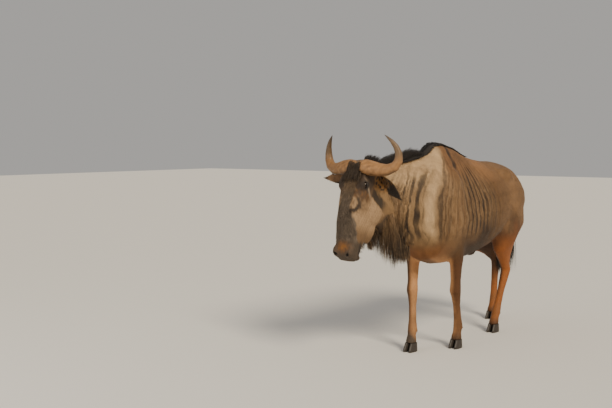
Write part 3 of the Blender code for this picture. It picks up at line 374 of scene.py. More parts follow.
def flecked(name, roughness, stretch, sheen=0.0, bump=0.0, deep=0.002, detail=3.0, span=(0.25, 0.75, 0.84, 1.16)):
    """Takes its colour from the surface's own Coat attribute, with fine flecks, and a bump from them."""
    made, parts, links, shader = material(name, roughness, sheen)
    place = add_node(parts, "TexCoord")
    spread = add_node(parts, "Mapping", Scale=stretch)
    fleck = add_node(parts, "TexNoise", Scale=1.0, Detail=detail)
    level = add_node(parts, "MapRange", From_Min=span[0], From_Max=span[1], To_Min=span[2], To_Max=span[3])
    scaled = add_node(parts, "VectorMath")
    scaled.operation = "SCALE"
    links.new(place.outputs["Object"], spread.inputs["Vector"])
    links.new(spread.outputs["Vector"], fleck.inputs["Vector"])
    links.new(fleck.outputs["Fac"], level.inputs["Value"])
    links.new(coat_colour(parts), scaled.inputs[0])
    links.new(level.outputs["Result"], scaled.inputs["Scale"])
    links.new(scaled.outputs["Vector"], shader.inputs["Base Color"])
    if bump:
        raised = add_node(parts, "Bump", Strength=bump, Distance=deep)
        links.new(fleck.outputs["Fac"], raised.inputs["Height"])
        links.new(raised.outputs["Normal"], shader.inputs["Normal"])
    return made


def linked(name, data):
    """A new object in the scene."""
    made = bpy.data.objects.new(name, data)
    bpy.context.scene.collection.objects.link(made)
    return made


def new_object(name, mesh, finish, slot, *stands_for, rounded=True):
    """Links a piece, gives it its finish, hangs it on the root, and hides the parts it stands for."""
    made = linked(name, mesh)
    mesh.materials.clear()
    mesh.materials.append(finish)
    mesh.polygons.foreach_set("use_smooth", np.full(len(mesh.polygons), rounded))
    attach(made, "root")
    if stands_for:
        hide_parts(*stands_for)
    return made


def from_bmesh(bm, name):
    """A new mesh from a bmesh, which is freed."""
    mesh = bpy.data.meshes.new(name)
    bm.to_mesh(mesh)
    bm.free()
    return mesh


def shaped(bm, kind, weight=None, **settings):
    """The mesh of a bmesh after one modifier, with a two-level vertex group of the weight if there is one."""
    work = linked("work", from_bmesh(bm, "work"))
    if weight is not None:
        group = work.vertex_groups.new(name="coarse")
        for value in (0.15, 1.0):
            group.add(np.nonzero(np.abs(weight - value) < 0.43)[0].tolist(), value, "REPLACE")
    modifier = work.modifiers.new(kind, kind)
    for key, value in settings.items():
        setattr(modifier, key, value)
    graph = bpy.context.evaluated_depsgraph_get()
    made = bpy.data.meshes.new_from_object(work.evaluated_get(graph))
    bpy.data.objects.remove(work, do_unlink=True)
    return made


def melted(grid, *names, add=None):
    """One closed mesh over copies of CAD nodes, with the corners of their loose triangles joined first."""
    bm = bmesh.new()
    for name in names:
        bm.from_mesh(nodes[name].data)
    bmesh.ops.remove_doubles(bm, verts=bm.verts, dist=1e-6)
    if add:
        add(bm)
    return shaped(bm, "REMESH", mode="VOXEL", voxel_size=grid)


def numbers(rows, key, width, kind=float):
    """One field of a row of Blender's own, such as a mesh's corners, as an array."""
    found = np.empty(len(rows) * width, dtype=kind)
    rows.foreach_get(key, found)
    return found.reshape(-1, width)


def corners(mesh):
    return numbers(mesh.vertices, "co", 3)


def set_corners(mesh, co):
    mesh.vertices.foreach_set("co", co.reshape(-1))
    mesh.update()


def normals_of(mesh):
    return numbers(mesh.vertex_normals, "vector", 3)


def colour_points(mesh, colours):
    layer = mesh.color_attributes.new(name="Coat", type="FLOAT_COLOR", domain="POINT")
    full = np.ones((len(colours), 4))
    full[:, :3] = colours
    layer.data.foreach_set("color", full.reshape(-1))


def soften(mesh, passes, weight):
    """Moves each corner towards the middle of its neighbours, by one weight or its own."""
    first, second = numbers(mesh.edges, "vertices", 2, np.int64).T
    co = corners(mesh)
    number = np.bincount(first, minlength=len(co)) + np.bincount(second, minlength=len(co))
    for _ in range(passes):
        total = np.zeros_like(co)
        for axis in range(3):
            total[:, axis] = (np.bincount(first, co[second, axis], len(co))
                              + np.bincount(second, co[first, axis], len(co)))
        co = co + (total / number[:, None] - co) * np.reshape(weight, (-1, 1))
    set_corners(mesh, co)


def round_off(mesh, passes, weight):
    """Softens a mesh and gives back the breadth that this took."""
    before = corners(mesh)
    soften(mesh, passes, weight)
    after = corners(mesh)
    set_corners(mesh, before - after)
    soften(mesh, passes, weight)
    set_corners(mesh, after + corners(mesh))


# ---- skin
FLESH = ("head", "neck", "torso", "tail", "foreleg_left", "foreleg_right", "hindleg_left", "hindleg_right")


def lid_forms(bm):
    """Bulges round the eyes and nostrils that the melted skin takes in."""
    for sign in SIDES.values():
        for across, distance, rise, radii in (
            (0.084, 0.090, 0.016, (0.020, 0.040, 0.014)),
            (0.062, 0.540, -0.020, (0.020, 0.034, 0.014)),
            (0.040, 0.566, -0.108, (0.034, 0.022, 0.014)),
        ):
            place = Matrix.Translation(Vector(in_head(sign * across, distance, rise)))
            turn = Matrix(HEAD_TURN.tolist()).to_4x4()
            bmesh.ops.create_icosphere(bm, subdivisions=3, radius=1.0,
                                       matrix=place @ turn @ Matrix.Diagonal((*radii, 1.0)))


def make_skin():
    """The flesh melted into one, softened, sunk by the coat's depth, and with folds, mouth and nostrils."""
    mesh = melted(SKIN_GRID, *FLESH, add=lid_forms)
    co = corners(mesh)
    head, low = headward(co), fade(co[:, 2], 0.5, 0.7)
    round_off(mesh, 44, 0.85 * (1 - head) * (1 - low) + 0.22 * low * (1 - head) + 0.05 * head)
    soften(mesh, 3, 0.5)
    co, normal = corners(mesh), normals_of(mesh)
    head, (_, y, z) = headward(co), (co - BODY).T
    depth = (0.0015 + 0.0020 * smooth(z, 0.55, 0.75)) * (1 - 0.5 * head) * smooth(z, 0.07, 0.12)
    fold = -0.0016 * stripes(co) + 0.0007 * waves(co, 0.16, 21)
    rib = 0.0013 * np.sin(y * 2 * math.pi / 0.085) * smooth(y, 0.2, 0.3)
    rib = rib * fade(y, 0.5, 0.62) * smooth(z, 0.7, 0.8) * fade(z, 1.05, 1.15)
    across, distance, rise = head_space(co)
    mouth = np.exp(-((rise - MOUTH_RISE) / 0.0045) ** 2) * smooth(distance, 0.475, 0.50) * head
    hollow = np.zeros(len(co))
    for sign in SIDES.values():
        away_from = nostril(across, distance, rise, sign)
        hollow += fade(away_from, 0.35, 1.05) - 0.22 * np.exp(-((away_from - 1.45) / 0.35) ** 2)
    crease = np.exp(-((rise + 0.062 + 0.35 * (distance - 0.47)) / 0.006) ** 2) * window(distance, 0.44, 0.53, 0.02)
    hollow += 0.25 * crease * head
    shift = (-depth + (fold + rib) * (1 - head) * (1 - low)) - 0.005 * mouth - 0.010 * hollow
    set_corners(mesh, co + normal * shift[:, None])
    # Thinned more on the body than on the head.
    bm = bmesh.new()
    bm.from_mesh(mesh)
    return shaped(bm, "DECIMATE", 1 - 0.85 * headward(corners(mesh)), vertex_group="coarse",
                  ratio=SKIN_TRIANGLES / (2 * len(mesh.polygons)))


def unwrap(thing):
    """Lays the skin out flat in a UV map named OFBake."""
    thing.data.uv_layers.new(name="OFBake")
    bpy.context.view_layer.objects.active = thing
    thing.select_set(True)
    bpy.ops.object.mode_set(mode="EDIT")
    bpy.ops.mesh.select_all(action="SELECT")
    bpy.ops.uv.smart_project(angle_limit=math.radians(66), island_margin=0.002)
    bpy.ops.object.mode_set(mode="OBJECT")
    thing.select_set(False)


class Ground:
    """A triangulated surface that hair grows from."""

    def __init__(self, thing):
        mesh = thing.data
        mesh.calc_loop_triangles()
        self.tris = numbers(mesh.loop_triangles, "vertices", 3, np.int64)
        loops = numbers(mesh.loop_triangles, "loops", 3, np.int64)
        self.co, self.normal = corners(mesh), normals_of(mesh)
        self.uv = numbers(mesh.uv_layers["OFBake"].data, "uv", 2)[loops]
        a, b, c = (self.co[self.tris[:, i]] for i in range(3))
        self.area = np.linalg.norm(np.cross(b - a, c - a), axis=1) / 2
        self.middle = (a + b + c) / 3
        self.tree = BVHTree.FromPolygons(self.co.tolist(), self.tris.tolist())

    def scatter(self, density):
        """Random places, their normals and UVs, for a density per square metre at each triangle."""
        number = dice.poisson(self.area * density)
        faces = np.repeat(np.arange(len(number)), number)
        share = dice.random((len(faces), 2))
        share = np.where(share.sum(1, keepdims=True) > 1, 1 - share, share)
        weight = np.stack([1 - share.sum(1), share[:, 0], share[:, 1]], 1)
        place = (self.co[self.tris[faces]] * weight[:, :, None]).sum(1)
        normal = unit((self.normal[self.tris[faces]] * weight[:, :, None]).sum(1))
        uv = (self.uv[faces] * weight[:, :, None]).sum(1)
        return place, normal, uv

    def nearest(self, points):
        """The nearest places on the surface, with normals and UVs."""
        place, normal, uv = np.empty_like(points), np.empty_like(points), np.empty((len(points), 2))
        for index, point in enumerate(points):
            spot, _, face, _ = self.tree.find_nearest(Vector(point))
            place[index] = spot
            corner = self.tris[face]
            near = 1 / (np.linalg.norm(self.co[corner] - place[index], axis=1) + 1e-6)
            near = near / near.sum()
            normal[index] = near @ self.normal[corner]
            uv[index] = near @ self.uv[face]
        return place, unit(normal), uv

    def clear(self, points, lift):
        """Points moved out until they are lift clear of the surface."""
        place, normal, _ = self.nearest(points)
        height = ((points - place) * normal).sum(1)
        short = np.maximum(0, lift - height)
        return points + normal * short[:, None]


def strands(name, paths, normals, widths, colours, uvs, finish, slot, *stands_for,
            tip=0.5, thick=0.35, root_shade=0.8, tip_shade=1.15, tip_colours=None, rounded=True):
    """Joined solid blades: paths is (count, rings, 3), each blade three-sided and ending in a point."""
    count, rings, _ = paths.shape
    ahead = np.empty_like(paths)
    ahead[:, 1:-1] = paths[:, 2:] - paths[:, :-2]
    ahead[:, 0], ahead[:, -1] = paths[:, 1] - paths[:, 0], paths[:, -1] - paths[:, -2]
    ahead = unit(ahead)
    side = unit(np.cross(ahead, normals[:, None, :]))
    out = unit(np.cross(side, ahead))
    share = np.linspace(0, 1, rings)[None, :-1]
    width = widths[:, None] * (0.75 + 0.25 * np.sin(np.minimum(share * 3, 1) * math.pi / 2)) * (1 - (1 - tip) * share)
    body = paths[:, :-1]
    half = side[:, :-1] * width[..., None]
    lift = out[:, :-1] * (width * thick)[..., None]
    verts = np.concatenate([
        np.stack([body - half - lift * 0.5, body + half - lift * 0.5, body + lift], 2).reshape(count, -1, 3),
        paths[:, -1:]], 1)
    per = 3 * (rings - 1) + 1
    faces = [(0, 1, 2)]
    for ring in range(rings - 2):
        low, high = 3 * ring, 3 * ring + 3
        for a, b in ((0, 1), (1, 2), (2, 0)):
            faces += [(low + b, low + a, high + a), (low + b, high + a, high + b)]
    last = 3 * (rings - 2)
    faces += [(last + b, last + a, per - 1) for a, b in ((0, 1), (1, 2), (2, 0))]
    faces = np.array(faces)[None] + (np.arange(count) * per)[:, None, None]
    mesh = bpy.data.meshes.new(name)
    mesh.from_pydata(verts.reshape(-1, 3).tolist(), [], faces.reshape(-1, 3).tolist())
    step = np.concatenate([np.repeat(np.linspace(0, 1, rings)[:-1], 3), [1.0]])
    shade = root_shade + (tip_shade - root_shade) * step
    ends = colours if tip_colours is None else tip_colours
    full = colours[:, None] + (ends - colours)[:, None] * step[None, :, None]
    colour_points(mesh, (full * shade[None, :, None]).reshape(-1, 3))
    middle = PATCH / 2
    spread = np.stack([step * PATCH, np.concatenate([np.tile((0.0, PATCH, middle), rings - 1), [middle]])], 1)
    spot = (uvs[:, None] + spread[None] - middle).reshape(-1, 2)
    layer = mesh.uv_layers.new(name="OFBake")
    layer.data.foreach_set("uv", spot[faces.reshape(-1)].reshape(-1))
    mesh.update()
    new_object(name, mesh, finish, slot, *stands_for, rounded=rounded)


def tufts(name, kind, density, length, half_width, raised, slot):
    """Short hair over one zone of the skin, raised off it by an angle."""
    place, normal, uv = ground.scatter(density * in_zone(kind, ground.middle))
    way = laid(lie_of_coat(place) + dice.normal(0, 0.10, place.shape), normal)
    long = (face_length(place, length) if kind == "head" else length) * draws(0.7, 1.3, place)
    angle = (raised + dice.normal(0, 0.05, len(place)))[:, None]
    root = place - normal * 0.0010
    end = root + (way * np.cos(angle) + normal * np.sin(angle)) * long[:, None]
    vary = draws(0.90, 1.10, place)[:, None]
    strands(name, np.stack([root, end], 1), normal, np.full(len(place), half_width), markings(place) * vary, uv,
            coat_finish, slot, thick=0.12, rounded=False, root_shade=0.90, tip_shade=1.10,
            tip_colours=markings(end) * vary)


def locks(roots, starts, pulls, lengths, per_lock, spread, splay, rings=6, lift=0.004):
    """Paths of many hairs gathered into locks: each lock has a root, a start, a pull and a length."""
    number = len(roots)
    owner = np.repeat(np.arange(number), per_lock)
    root = roots[owner] + dice.normal(0, 1, (len(owner), 3)) * spread
    root, normal, uv = ground.nearest(root)
    start = unit(starts[owner] + dice.normal(0, splay, (len(owner), 3)))
    pull = unit(pulls[owner] + dice.normal(0, splay * 0.6, (len(owner), 3)))
    long = lengths[owner] * draws(0.6, 1.1, owner)
    path = np.empty((len(owner), rings, 3))
    path[:, 0] = root - normal * 0.002
    for ring in range(1, rings):
        share = min(1.0, (ring - 0.5) / (rings - 1) * SAG)
        heading = unit(start * (1 - share) + pull * share)
        path[:, ring] = ground.clear(path[:, ring - 1] + heading * (long / (rings - 1))[:, None], lift)
    # Hairs of one lock draw together towards its tip.
    middle = np.stack([np.bincount(owner, path[:, -1, axis], number) for axis in range(3)], 1)
    middle = middle / np.bincount(owner, minlength=number)[:, None]
    for ring in range(2, rings):
        path[:, ring] += (middle[owner] - path[:, -1]) * (0.35 * (ring / (rings - 1)) ** 2)
    return path, normal, uv, owner


# ---- build
coat_finish = flecked("coat", 0.58, (220.0, 60.0, 120.0), sheen=0.05)
skin_finish = flecked("skin_coat", 0.72, (170.0, 170.0, 45.0), sheen=0.05, bump=0.30)
long_finish = flecked("long_hair", 0.50, (90.0, 90.0, 25.0))

skin = new_object("skin", make_skin(), skin_finish, "body_coat", *FLESH)
unwrap(skin)
colour_points(skin.data, markings(corners(skin.data)))
ground = Ground(skin)


def in_zone(kind, points):
    """1 on one zone of the skin, and 0 elsewhere."""
    x, y, z = (points - BODY).T
    on_head, leg = headward(points) > 0.5, z < LEG_TOP
    neck = ~on_head & ~leg & (y < NECK_START)
    body = ~on_head & ~leg & ~neck
    zones = {"head": on_head, "neck": neck, "legs": ~on_head & leg & (z > HOOF_TOP),
             "left": body & (x >= 0), "right": body & (x < 0)}
    return zones[kind] * 1.0


def face_length(points, length):
    """The hair is shorter on the muzzle and round the eyes."""
    _, distance, _ = head_space(points)
    bare = smooth(distance, 0.50, 0.56)
    eye = np.ones(len(points))
    for sign in SIDES.values():
        away = np.linalg.norm(points - in_head(sign * EYE_PLACE[0], *EYE_PLACE[1:]), axis=1)
        eye *= smooth(away, 0.020, 0.045)
    return length * (1 - 0.65 * bare) * (0.30 + 0.70 * eye)


for kind, density, length, half_width, raised, slot in (
    ("left", 32500, 0.019, 0.0019, 0.10, "body_coat"), ("right", 32500, 0.019, 0.0019, 0.10, "body_coat"),
    ("neck", 52000, 0.021, 0.0018, 0.13, "body_coat"), ("legs", 56000, 0.012, 0.0014, 0.10, "leg_coat"),
    ("head", 93000, 0.011, 0.0012, 0.12, "face_coat"),
):
    tufts("coat_" + kind, kind, density, length, half_width, raised, slot)


def crest_points(y):
    """The skin's top along the crest."""
    found = []
    for here, x in zip(y, crest_x(y)):
        hit, _, _, _ = ground.tree.ray_cast(Vector((BODY[0] + x, BODY[1] + here, 2.5)), Vector((0, 0, -1)))
        found.append(tuple(hit))
    return np.array(found)


def lowest(names, seats):
    """How low the solid hair hangs near each seat along the body."""
    solid = np.concatenate([corners(nodes[name].data) for name in names])
    found = np.array([np.min(solid[np.abs(solid[:, 1] - seat[1]) < 0.035, 2], initial=seat[2]) for seat in seats])
    return np.convolve(np.pad(found, 3, mode="edge"), np.ones(7) / 7, mode="valid")


def make_mane():
    """The mane stands a little along the crest and falls to the right."""
    along = np.linspace(-0.575, 0.43, 150)
    seat = crest_points(along)
    drop = seat[:, 2] - lowest(("mane_neck", "mane_withers"), seat)
    roots, starts, pulls, lengths = [], [], [], []
    neckward = fade(along, -0.30, -0.10)
    for lean, lift, hanging, shift in (
        (-0.9, 0.30, True, -0.016), (-0.8, 0.6, True, -0.010), (-0.7, 0.9, True, -0.004),
        (-0.25, 1.0, False, -0.006), (-0.05, 1.0, False, -0.001), (0.10, 1.0, False, 0.004),
        (0.40, 0.9, False, 0.009), (0.85, 0.5, False, 0.014),
    ):
        roots.append(seat + np.array((shift, 0, 0)) + dice.normal(0, 0.004, seat.shape))
        if hanging:
            start, pull = np.array((lean, 0.45, lift)), np.array((lean * 0.5, 0.35, -1.0))
            start, pull = np.tile(start, (len(along), 1)), np.tile(pull, (len(along), 1))
            length = (drop + 0.045) * 1.05
        else:
            flat, high = np.array((lean, 1.0, 0.35 * lift)), np.array((lean, 0.25, lift))
            start = flat + (high - flat) * neckward[:, None]
            flat, high = np.array((lean * 0.4, 1.0, 0.0)), np.array((lean * 0.6, 0.85, 0.48 - 0.6 * abs(lean)))
            pull = flat + (high - flat) * neckward[:, None] - np.outer(0.24 * smooth(along, 0.0, 0.12), UP)
            tall = np.interp(along, (-0.575, -0.50, -0.42, -0.20, -0.08), (0.075, 0.095, 0.135, 0.125, 0.060))
            length = (0.055 + (tall - 0.055) * neckward) * (1 - 0.35 * abs(lean))
        starts.append(unit(start) + dice.normal(0, 0.05, seat.shape))
        pulls.append(unit(pull) + dice.normal(0, 0.05, seat.shape))
        lengths.append(length * draws(0.86, 1.10, along))
    path, normal, uv, _ = locks(*(np.concatenate(rows) for rows in (roots, starts, pulls, lengths)), 9, 0.006, 0.05)
    tone = TONES["black"] * draws(0.8, 1.8, path)[:, None]
    width = draws(0.0011, 0.0020, path)
    ahead = path[:, 0, 1] - BODY[1] < -0.17
    for name, part in (("neck", ahead), ("withers", ~ahead)):
        strands("mane_hair_" + name, path[part], normal[part], width[part], tone[part], uv[part], long_finish,
                "black_hair", "mane_" + name, tip=0.35)


def make_forelock():
    """Hair that fans out over the forehead between the horns."""
    places = []
    for distance in np.linspace(-0.055, 0.055, 9):
        for across in np.linspace(-0.030, 0.030, 6) * (1 + 0.5 * (distance > 0.02)):
            places.append((across, distance, 0.035))
    places = np.array(places)
    roots = np.array([in_head(*place) for place in places])
    _, normal, _ = ground.nearest(roots)
    fan = places[:, :1] * 9 * SIDE
    starts = unit(normal * 0.9 + NOSE * 0.45 + fan)
    pulls = unit(NOSE + fan * 0.6 - RISE * 0.1)
    path, normal, uv, _ = locks(roots, starts, pulls, np.full(len(roots), 0.082), 14, 0.006, 0.12)
    tone = TONES["dark_hair_and_shade"] * draws(0.4, 1.5, path)[:, None]
    strands("forelock_hair", path, normal, draws(0.0012, 0.0022, path), tone, uv, long_finish,
            "black_hair", "forelock", tip=0.35)


def make_face_brush():
    """Coarse dark hair down the front of the face."""
    across, distance, rise = head_space(ground.middle)
    width = np.interp(distance, (0, 0.10, 0.20, 0.30, 0.36, 0.46), (0.054, 0.048, 0.044, 0.050, 0.070, 0.080))
    front = ((np.abs(across) < width) * smooth(rise, -0.035, -0.010) * smooth(distance, 0.02, 0.06)
             * fade(distance, 0.42, 0.49) * (headward(ground.middle) > 0.5))
    place, normal, uv = ground.scatter(60000 * front)
    across, distance, _ = head_space(place)
    way = NOSE * 0.9 + SIDE * (np.sign(across) * 0.25)[:, None] + dice.normal(0, 0.18, place.shape)
    way = laid(way, normal)
    long = 0.024 * draws(0.6, 1.2, place) * (1 - 0.35 * smooth(distance, 0.30, 0.46))
    path = [place - normal * 0.001]
    for angle in (0.45, 0.22, 0.05):
        path.append(path[-1] + (way * math.cos(angle) + normal * math.sin(angle)) * (long / 3)[:, None])
    tone = markings(place) * draws(0.8, 1.4, place)[:, None]
    strands("face_brush", np.stack(path, 1), normal, draws(0.0010, 0.0018, place), tone, uv, long_finish,
            "face_coat")


def streaked(paths, chin):
    """Colours of the roots and tips: streaks of pale and brown, and dark low down and on the chin."""
    at = paths[:, 0]
    x, y, z = (at - BODY).T
    streak = smooth(waves(np.stack([x * 1.4 + y * 0.8, 0.1 * z, 0.1 * z], 1), 0.050, 41), -0.6, 0.4)
    high = blend(np.tile((0.190, 0.108, 0.052), (len(at), 1)), TONES["cheek"] * 1.1, streak)
    high = blend(high, markings(at), smooth(y, -0.48, -0.40))
    low = np.where(dice.random((len(at), 1)) < 0.14 + 0.16 * streak[:, None], TONES["cheek"], TONES["dark_hair_and_shade"])
    vary, step = draws(0.75, 1.3, at)[:, None], dice.normal(0, 0.025, len(at))
    return [blend(high, low, np.maximum(chin, fade(end[:, 2] + step, 0.80, 0.92))) * vary
            for end in (at, paths[:, -1])]


def make_beard():
    """Hair of the chin and throat."""
    roots, starts, pulls, lengths = [], [], [], []
    for distance in np.linspace(0.32, 0.53, 14):
        for across in np.linspace(-0.030, 0.030, 6):
            roots.append(in_head(across, distance, -0.22))
            starts.append(-RISE * 0.9 - UP * 0.35 + SIDE * across * 6)
            pulls.append(-UP - RISE * 0.45)
            lengths.append(0.118 - 0.28 * (distance - 0.33))
    chin_locks = len(roots)
    throat, chest = in_head(0, 0.205, -0.27), BODY + np.array((-0.045, -0.345, 0.70))
    for share in np.linspace(0, 1, 26):
        for across in np.linspace(-0.055, 0.055, 8) * (1.2 - 0.5 * share):
            roots.append(throat + (chest - throat) * share + np.array((across, 0, -0.05 + abs(across) * 0.6)))
            starts.append(np.array((across * 7, 0.0, -0.9)))
            pulls.append(np.array((across * 1.2, 0.06, -1.0)))
            lengths.append((0.130 + 0.070 * math.sin(math.pi * min(1.0, share * 1.15))) * (1 - 90 * across ** 2))
    roots, starts, pulls = np.array(roots), unit(np.array(starts)), unit(np.array(pulls))
    lengths = np.array(lengths) * draws(0.75, 1.15, roots)
    path, normal, uv, owner = locks(roots, starts, pulls, lengths, 18, 0.008, 0.08)
    tone, tips = streaked(path, (owner < chin_locks) * 1.0)
    strands("beard", path, normal, draws(0.0006, 0.0013, path), tone, uv, long_finish,
            "beard_hair", "beard_chin", "beard_throat", tip=0.25, tip_colours=tips)


def make_throat_hair():
    """Longer hair down the front of the neck, behind the jaw, that thins out into the coat."""
    spot, facing, _ = ground.scatter(9000 * ((headward(ground.middle) < 0.9) * 1.0))
    x, y, z = (spot - BODY).T
    behind = y - np.interp(z, (0.74, 0.85, 1.00, 1.16), (-0.36, -0.42, -0.46, -0.48))
    near = (dice.random(len(spot)) > smooth(behind, -0.05, 0.07)) & (z > 0.76) & (facing[:, 2] < 0.5)
    near &= dice.random(len(spot)) > smooth(z, 1.06, 1.18)
    point, way, behind = spot[near], facing[near], behind[near]
    starts, pulls = unit(way * 0.22 + (0.0, 0.10, -1.0)), unit(way * -0.10 - UP)
    lengths = np.interp(behind, (-0.05, 0.07), (0.080, 0.030)) * draws(0.7, 1.2, point)
    path, normal, uv, _ = locks(point, starts, pulls, lengths, 8, 0.007, 0.06, rings=4, lift=0.002)
    tone, tips = streaked(path, np.zeros(len(path)))
    strands("throat_hair", path, normal, draws(0.0007, 0.0013, path), tone, uv, long_finish,
            "beard_hair", tip=0.3, thick=0.2, tip_colours=tips)


def make_tail():
    """Long black hair from the lower half of the dock."""
    dock = BODY + np.array(((-0.024, 1.312, 0.920), (-0.036, 1.310, 0.830),
                            (-0.046, 1.304, 0.745), (-0.050, 1.300, 0.700)))
    roots, starts, pulls, lengths = [], [], [], []
    for index in range(TAIL_LOCKS):
        spot = index / (TAIL_LOCKS - 1) * (len(dock) - 1)
        low = min(int(spot), len(dock) - 2)
        centre = dock[low] + (dock[low + 1] - dock[low]) * (spot - low)
        angle = index * GOLDEN_ANGLE
        out = np.array((math.cos(angle), math.sin(angle), 0.0))
        roots.append(centre + out * 0.012)
        starts.append(out * 0.30 - UP)
        pulls.append(-UP + out * 0.015 + (0.0, -0.04, 0.0))
        lengths.append((centre[2] - 0.345) * dice.uniform(0.72, 1.0))
    path, normal, uv, _ = locks(*map(np.array, (roots, starts, pulls, lengths)), 16, 0.005, 0.035, rings=8, lift=0.002)
    tone = TONES["black"] * draws(0.8, 1.9, path)[:, None]
    strands("tail_hair", path, normal, draws(0.0014, 0.0026, path), tone, uv, long_finish,
            "black_hair", "tail_tuft", tip=0.35)


make_mane()
make_forelock()
make_face_brush()
make_beard()
make_throat_hair()
make_tail()


# ---- ears
def make_ear(label):
    """The ear, smoothed, dark outside, with a pale cup that is painted black as shade on the left ear, and its hair.
    """
    mesh = melted(EAR_GRID, "ear_" + label)
    soften(mesh, 5, 0.5)
    ear = new_object("ear_skin_" + label, mesh, skin_finish, "body_coat", "ear_" + label)
    unwrap(ear)
    co, normal = corners(mesh), normals_of(mesh)
    sign = SIDES[label]
    root = in_head(sign * 0.094, 0.055, -0.099)
    tip = co[np.argmax(np.linalg.norm(co - root, axis=1))]
    axis = unit(tip - root)
    inner_way = unit(RISE * 0.9 + NOSE * 0.3)
    inner_way = unit(inner_way - axis * (inner_way @ axis))

    def tint(points, facing):
        share = ((points - root) @ axis) / np.linalg.norm(tip - root)
        inward = smooth(facing @ inner_way, 0.05, 0.45)
        middle = np.abs((points - root) @ np.cross(axis, inner_way))
        rim = smooth(middle, 0.020, 0.030) + smooth(share, 0.80, 0.95)
        # The left ear's cup is painted black as shade; the right one keeps the pale inside of the ear.
        cup = TONES["black"] * 1.5 if label == "left" else TONES["inner_ear"]
        coat = Paint("brow", points, 0.8)
        coat.over("tuft", 0.5 * fade(share, 0.10, 0.30))
        return blend(coat.colour, cup, inward * np.clip(1 - rim, 0, 1) * 0.9)

    colour_points(mesh, tint(co, normal))
    patch = Ground(ear)
    place, facing, uv = patch.scatter(90000)
    way = laid(unit(axis + dice.normal(0, 0.25, place.shape)), facing)
    long = draws(0.008, 0.015, place)
    path = np.stack([place - facing * 0.0006, place + (way * 0.96 + facing * 0.22) * long[:, None]], 1)
    tone = tint(place, facing) * draws(0.8, 1.2, place)[:, None]
    strands("ear_coat_" + label, path, facing, np.full(len(place), 0.0011), tone, uv, coat_finish, "body_coat")
    # Long tufts at the root of the cup.
    inside = np.nonzero(((place - root) @ axis < 0.075) & (facing @ inner_way > 0.1))[0]
    inside = inside[dice.random(len(inside)) < 0.30]
    start = unit(axis * 0.5 + inner_way * 0.8 + dice.normal(0, 0.2, (len(inside), 3)))
    long = draws(0.020, 0.042, inside)
    base = place[inside]
    path = np.stack([base - facing[inside] * 0.001, base + start * (long * 0.5)[:, None],
                     base + unit(start + axis * 0.7 - UP * 0.3) * long[:, None]], 1)
    shade = np.where(dice.random((len(inside), 1)) < 0.6, TONES["tuft"], TONES["face"])
    strands("ear_tuft_" + label, path, facing[inside], np.full(len(inside), 0.0012), shade, uv[inside], coat_finish,
            "body_coat")


for label in SIDES:
    make_ear(label)


# ---- horns, hooves and eyes
horn_finish = flecked("horn_surface", 0.42, (55.0, 55.0, 55.0), bump=0.35, deep=0.0015, detail=6.0,
                      span=(0.0, 1.0, 0.62, 1.38))


def make_horn(label):
    """The horn, smoothed, with a rough boss and fine rings, darker towards the tip, with painted shade on its
    underside and over the whole right horn.
    """
    mesh = melted(HORN_GRID, "horn_" + label)
    round_off(mesh, 26, 0.8)
    co, normal = corners(mesh), normals_of(mesh)
    across, distance, rise = head_space(co)
    across = np.abs(across)
    boss = fade(across, 0.13, 0.22)
    rough = 0.0009 * waves(co, 0.030, 31) + 0.0003 * waves(co, 0.010, 32)
    ring = 0.0006 * np.sin(across * 2 * math.pi / 0.013 + waves(co, 0.05, 34)) * window(across, 0.07, 0.24, 0.03)
    set_corners(mesh, co + normal * (rough * boss + ring - 0.0004)[:, None])
    pale = smooth(-distance, 0.02, 0.10)
    colour = blend(np.tile((0.330, 0.167, 0.066), (len(co), 1)), np.array((0.172, 0.108, 0.058)), pale)
    colour = blend(colour, np.array((0.110, 0.080, 0.060)), smooth(-distance, 0.140, 0.190))
    # Painted shade: darker where the horn faces down.
    under = smooth(-normal @ UP, 0.2, 0.9)
    colour = colour * (1 - 0.55 * under - 0.14 * boss * waves(co, 0.03, 33))[:, None]
    # The right horn is darkened all over: painted shade.
    colour = colour * (0.8 if label == "right" else 1.0)
    new_object("horn_" + label + "_surface", mesh, horn_finish, "horn", "horn_" + label)
    colour_points(mesh, np.clip(colour, 0.01, 1))


for label in SIDES:
    make_horn(label)

hoof_finish, _, _, hoof_shader = material("hoof_surface", 0.5)
put(hoof_shader, Base_Color=(0.038, 0.031, 0.026, 1))
for name in list(nodes):
    if name.startswith("hoof_"):
        mesh = melted(HOOF_GRID, name)
        soften(mesh, 3, 0.5)
        co = corners(mesh)
        co[:, 2] = np.where(co[:, 2] < 0.004, np.minimum(co[:, 2], 0.0), co[:, 2])
        co[:, 2] = np.maximum(co[:, 2], 0.0)
        set_corners(mesh, co)
        new_object(name + "_wall", mesh, hoof_finish, "hoof", name)


def eye_axes(sign):
    """Ways out of the eye, along its opening and up over it."""
    out = unit(SIDE * sign * 0.86 + RISE * 0.42 + NOSE * 0.10)
    length = NOSE * 0.92 - RISE * 0.30
    length = unit(length - out * (length @ out))
    over = np.cross(out, length)
    return out, length, -over if over @ RISE < 0 else over


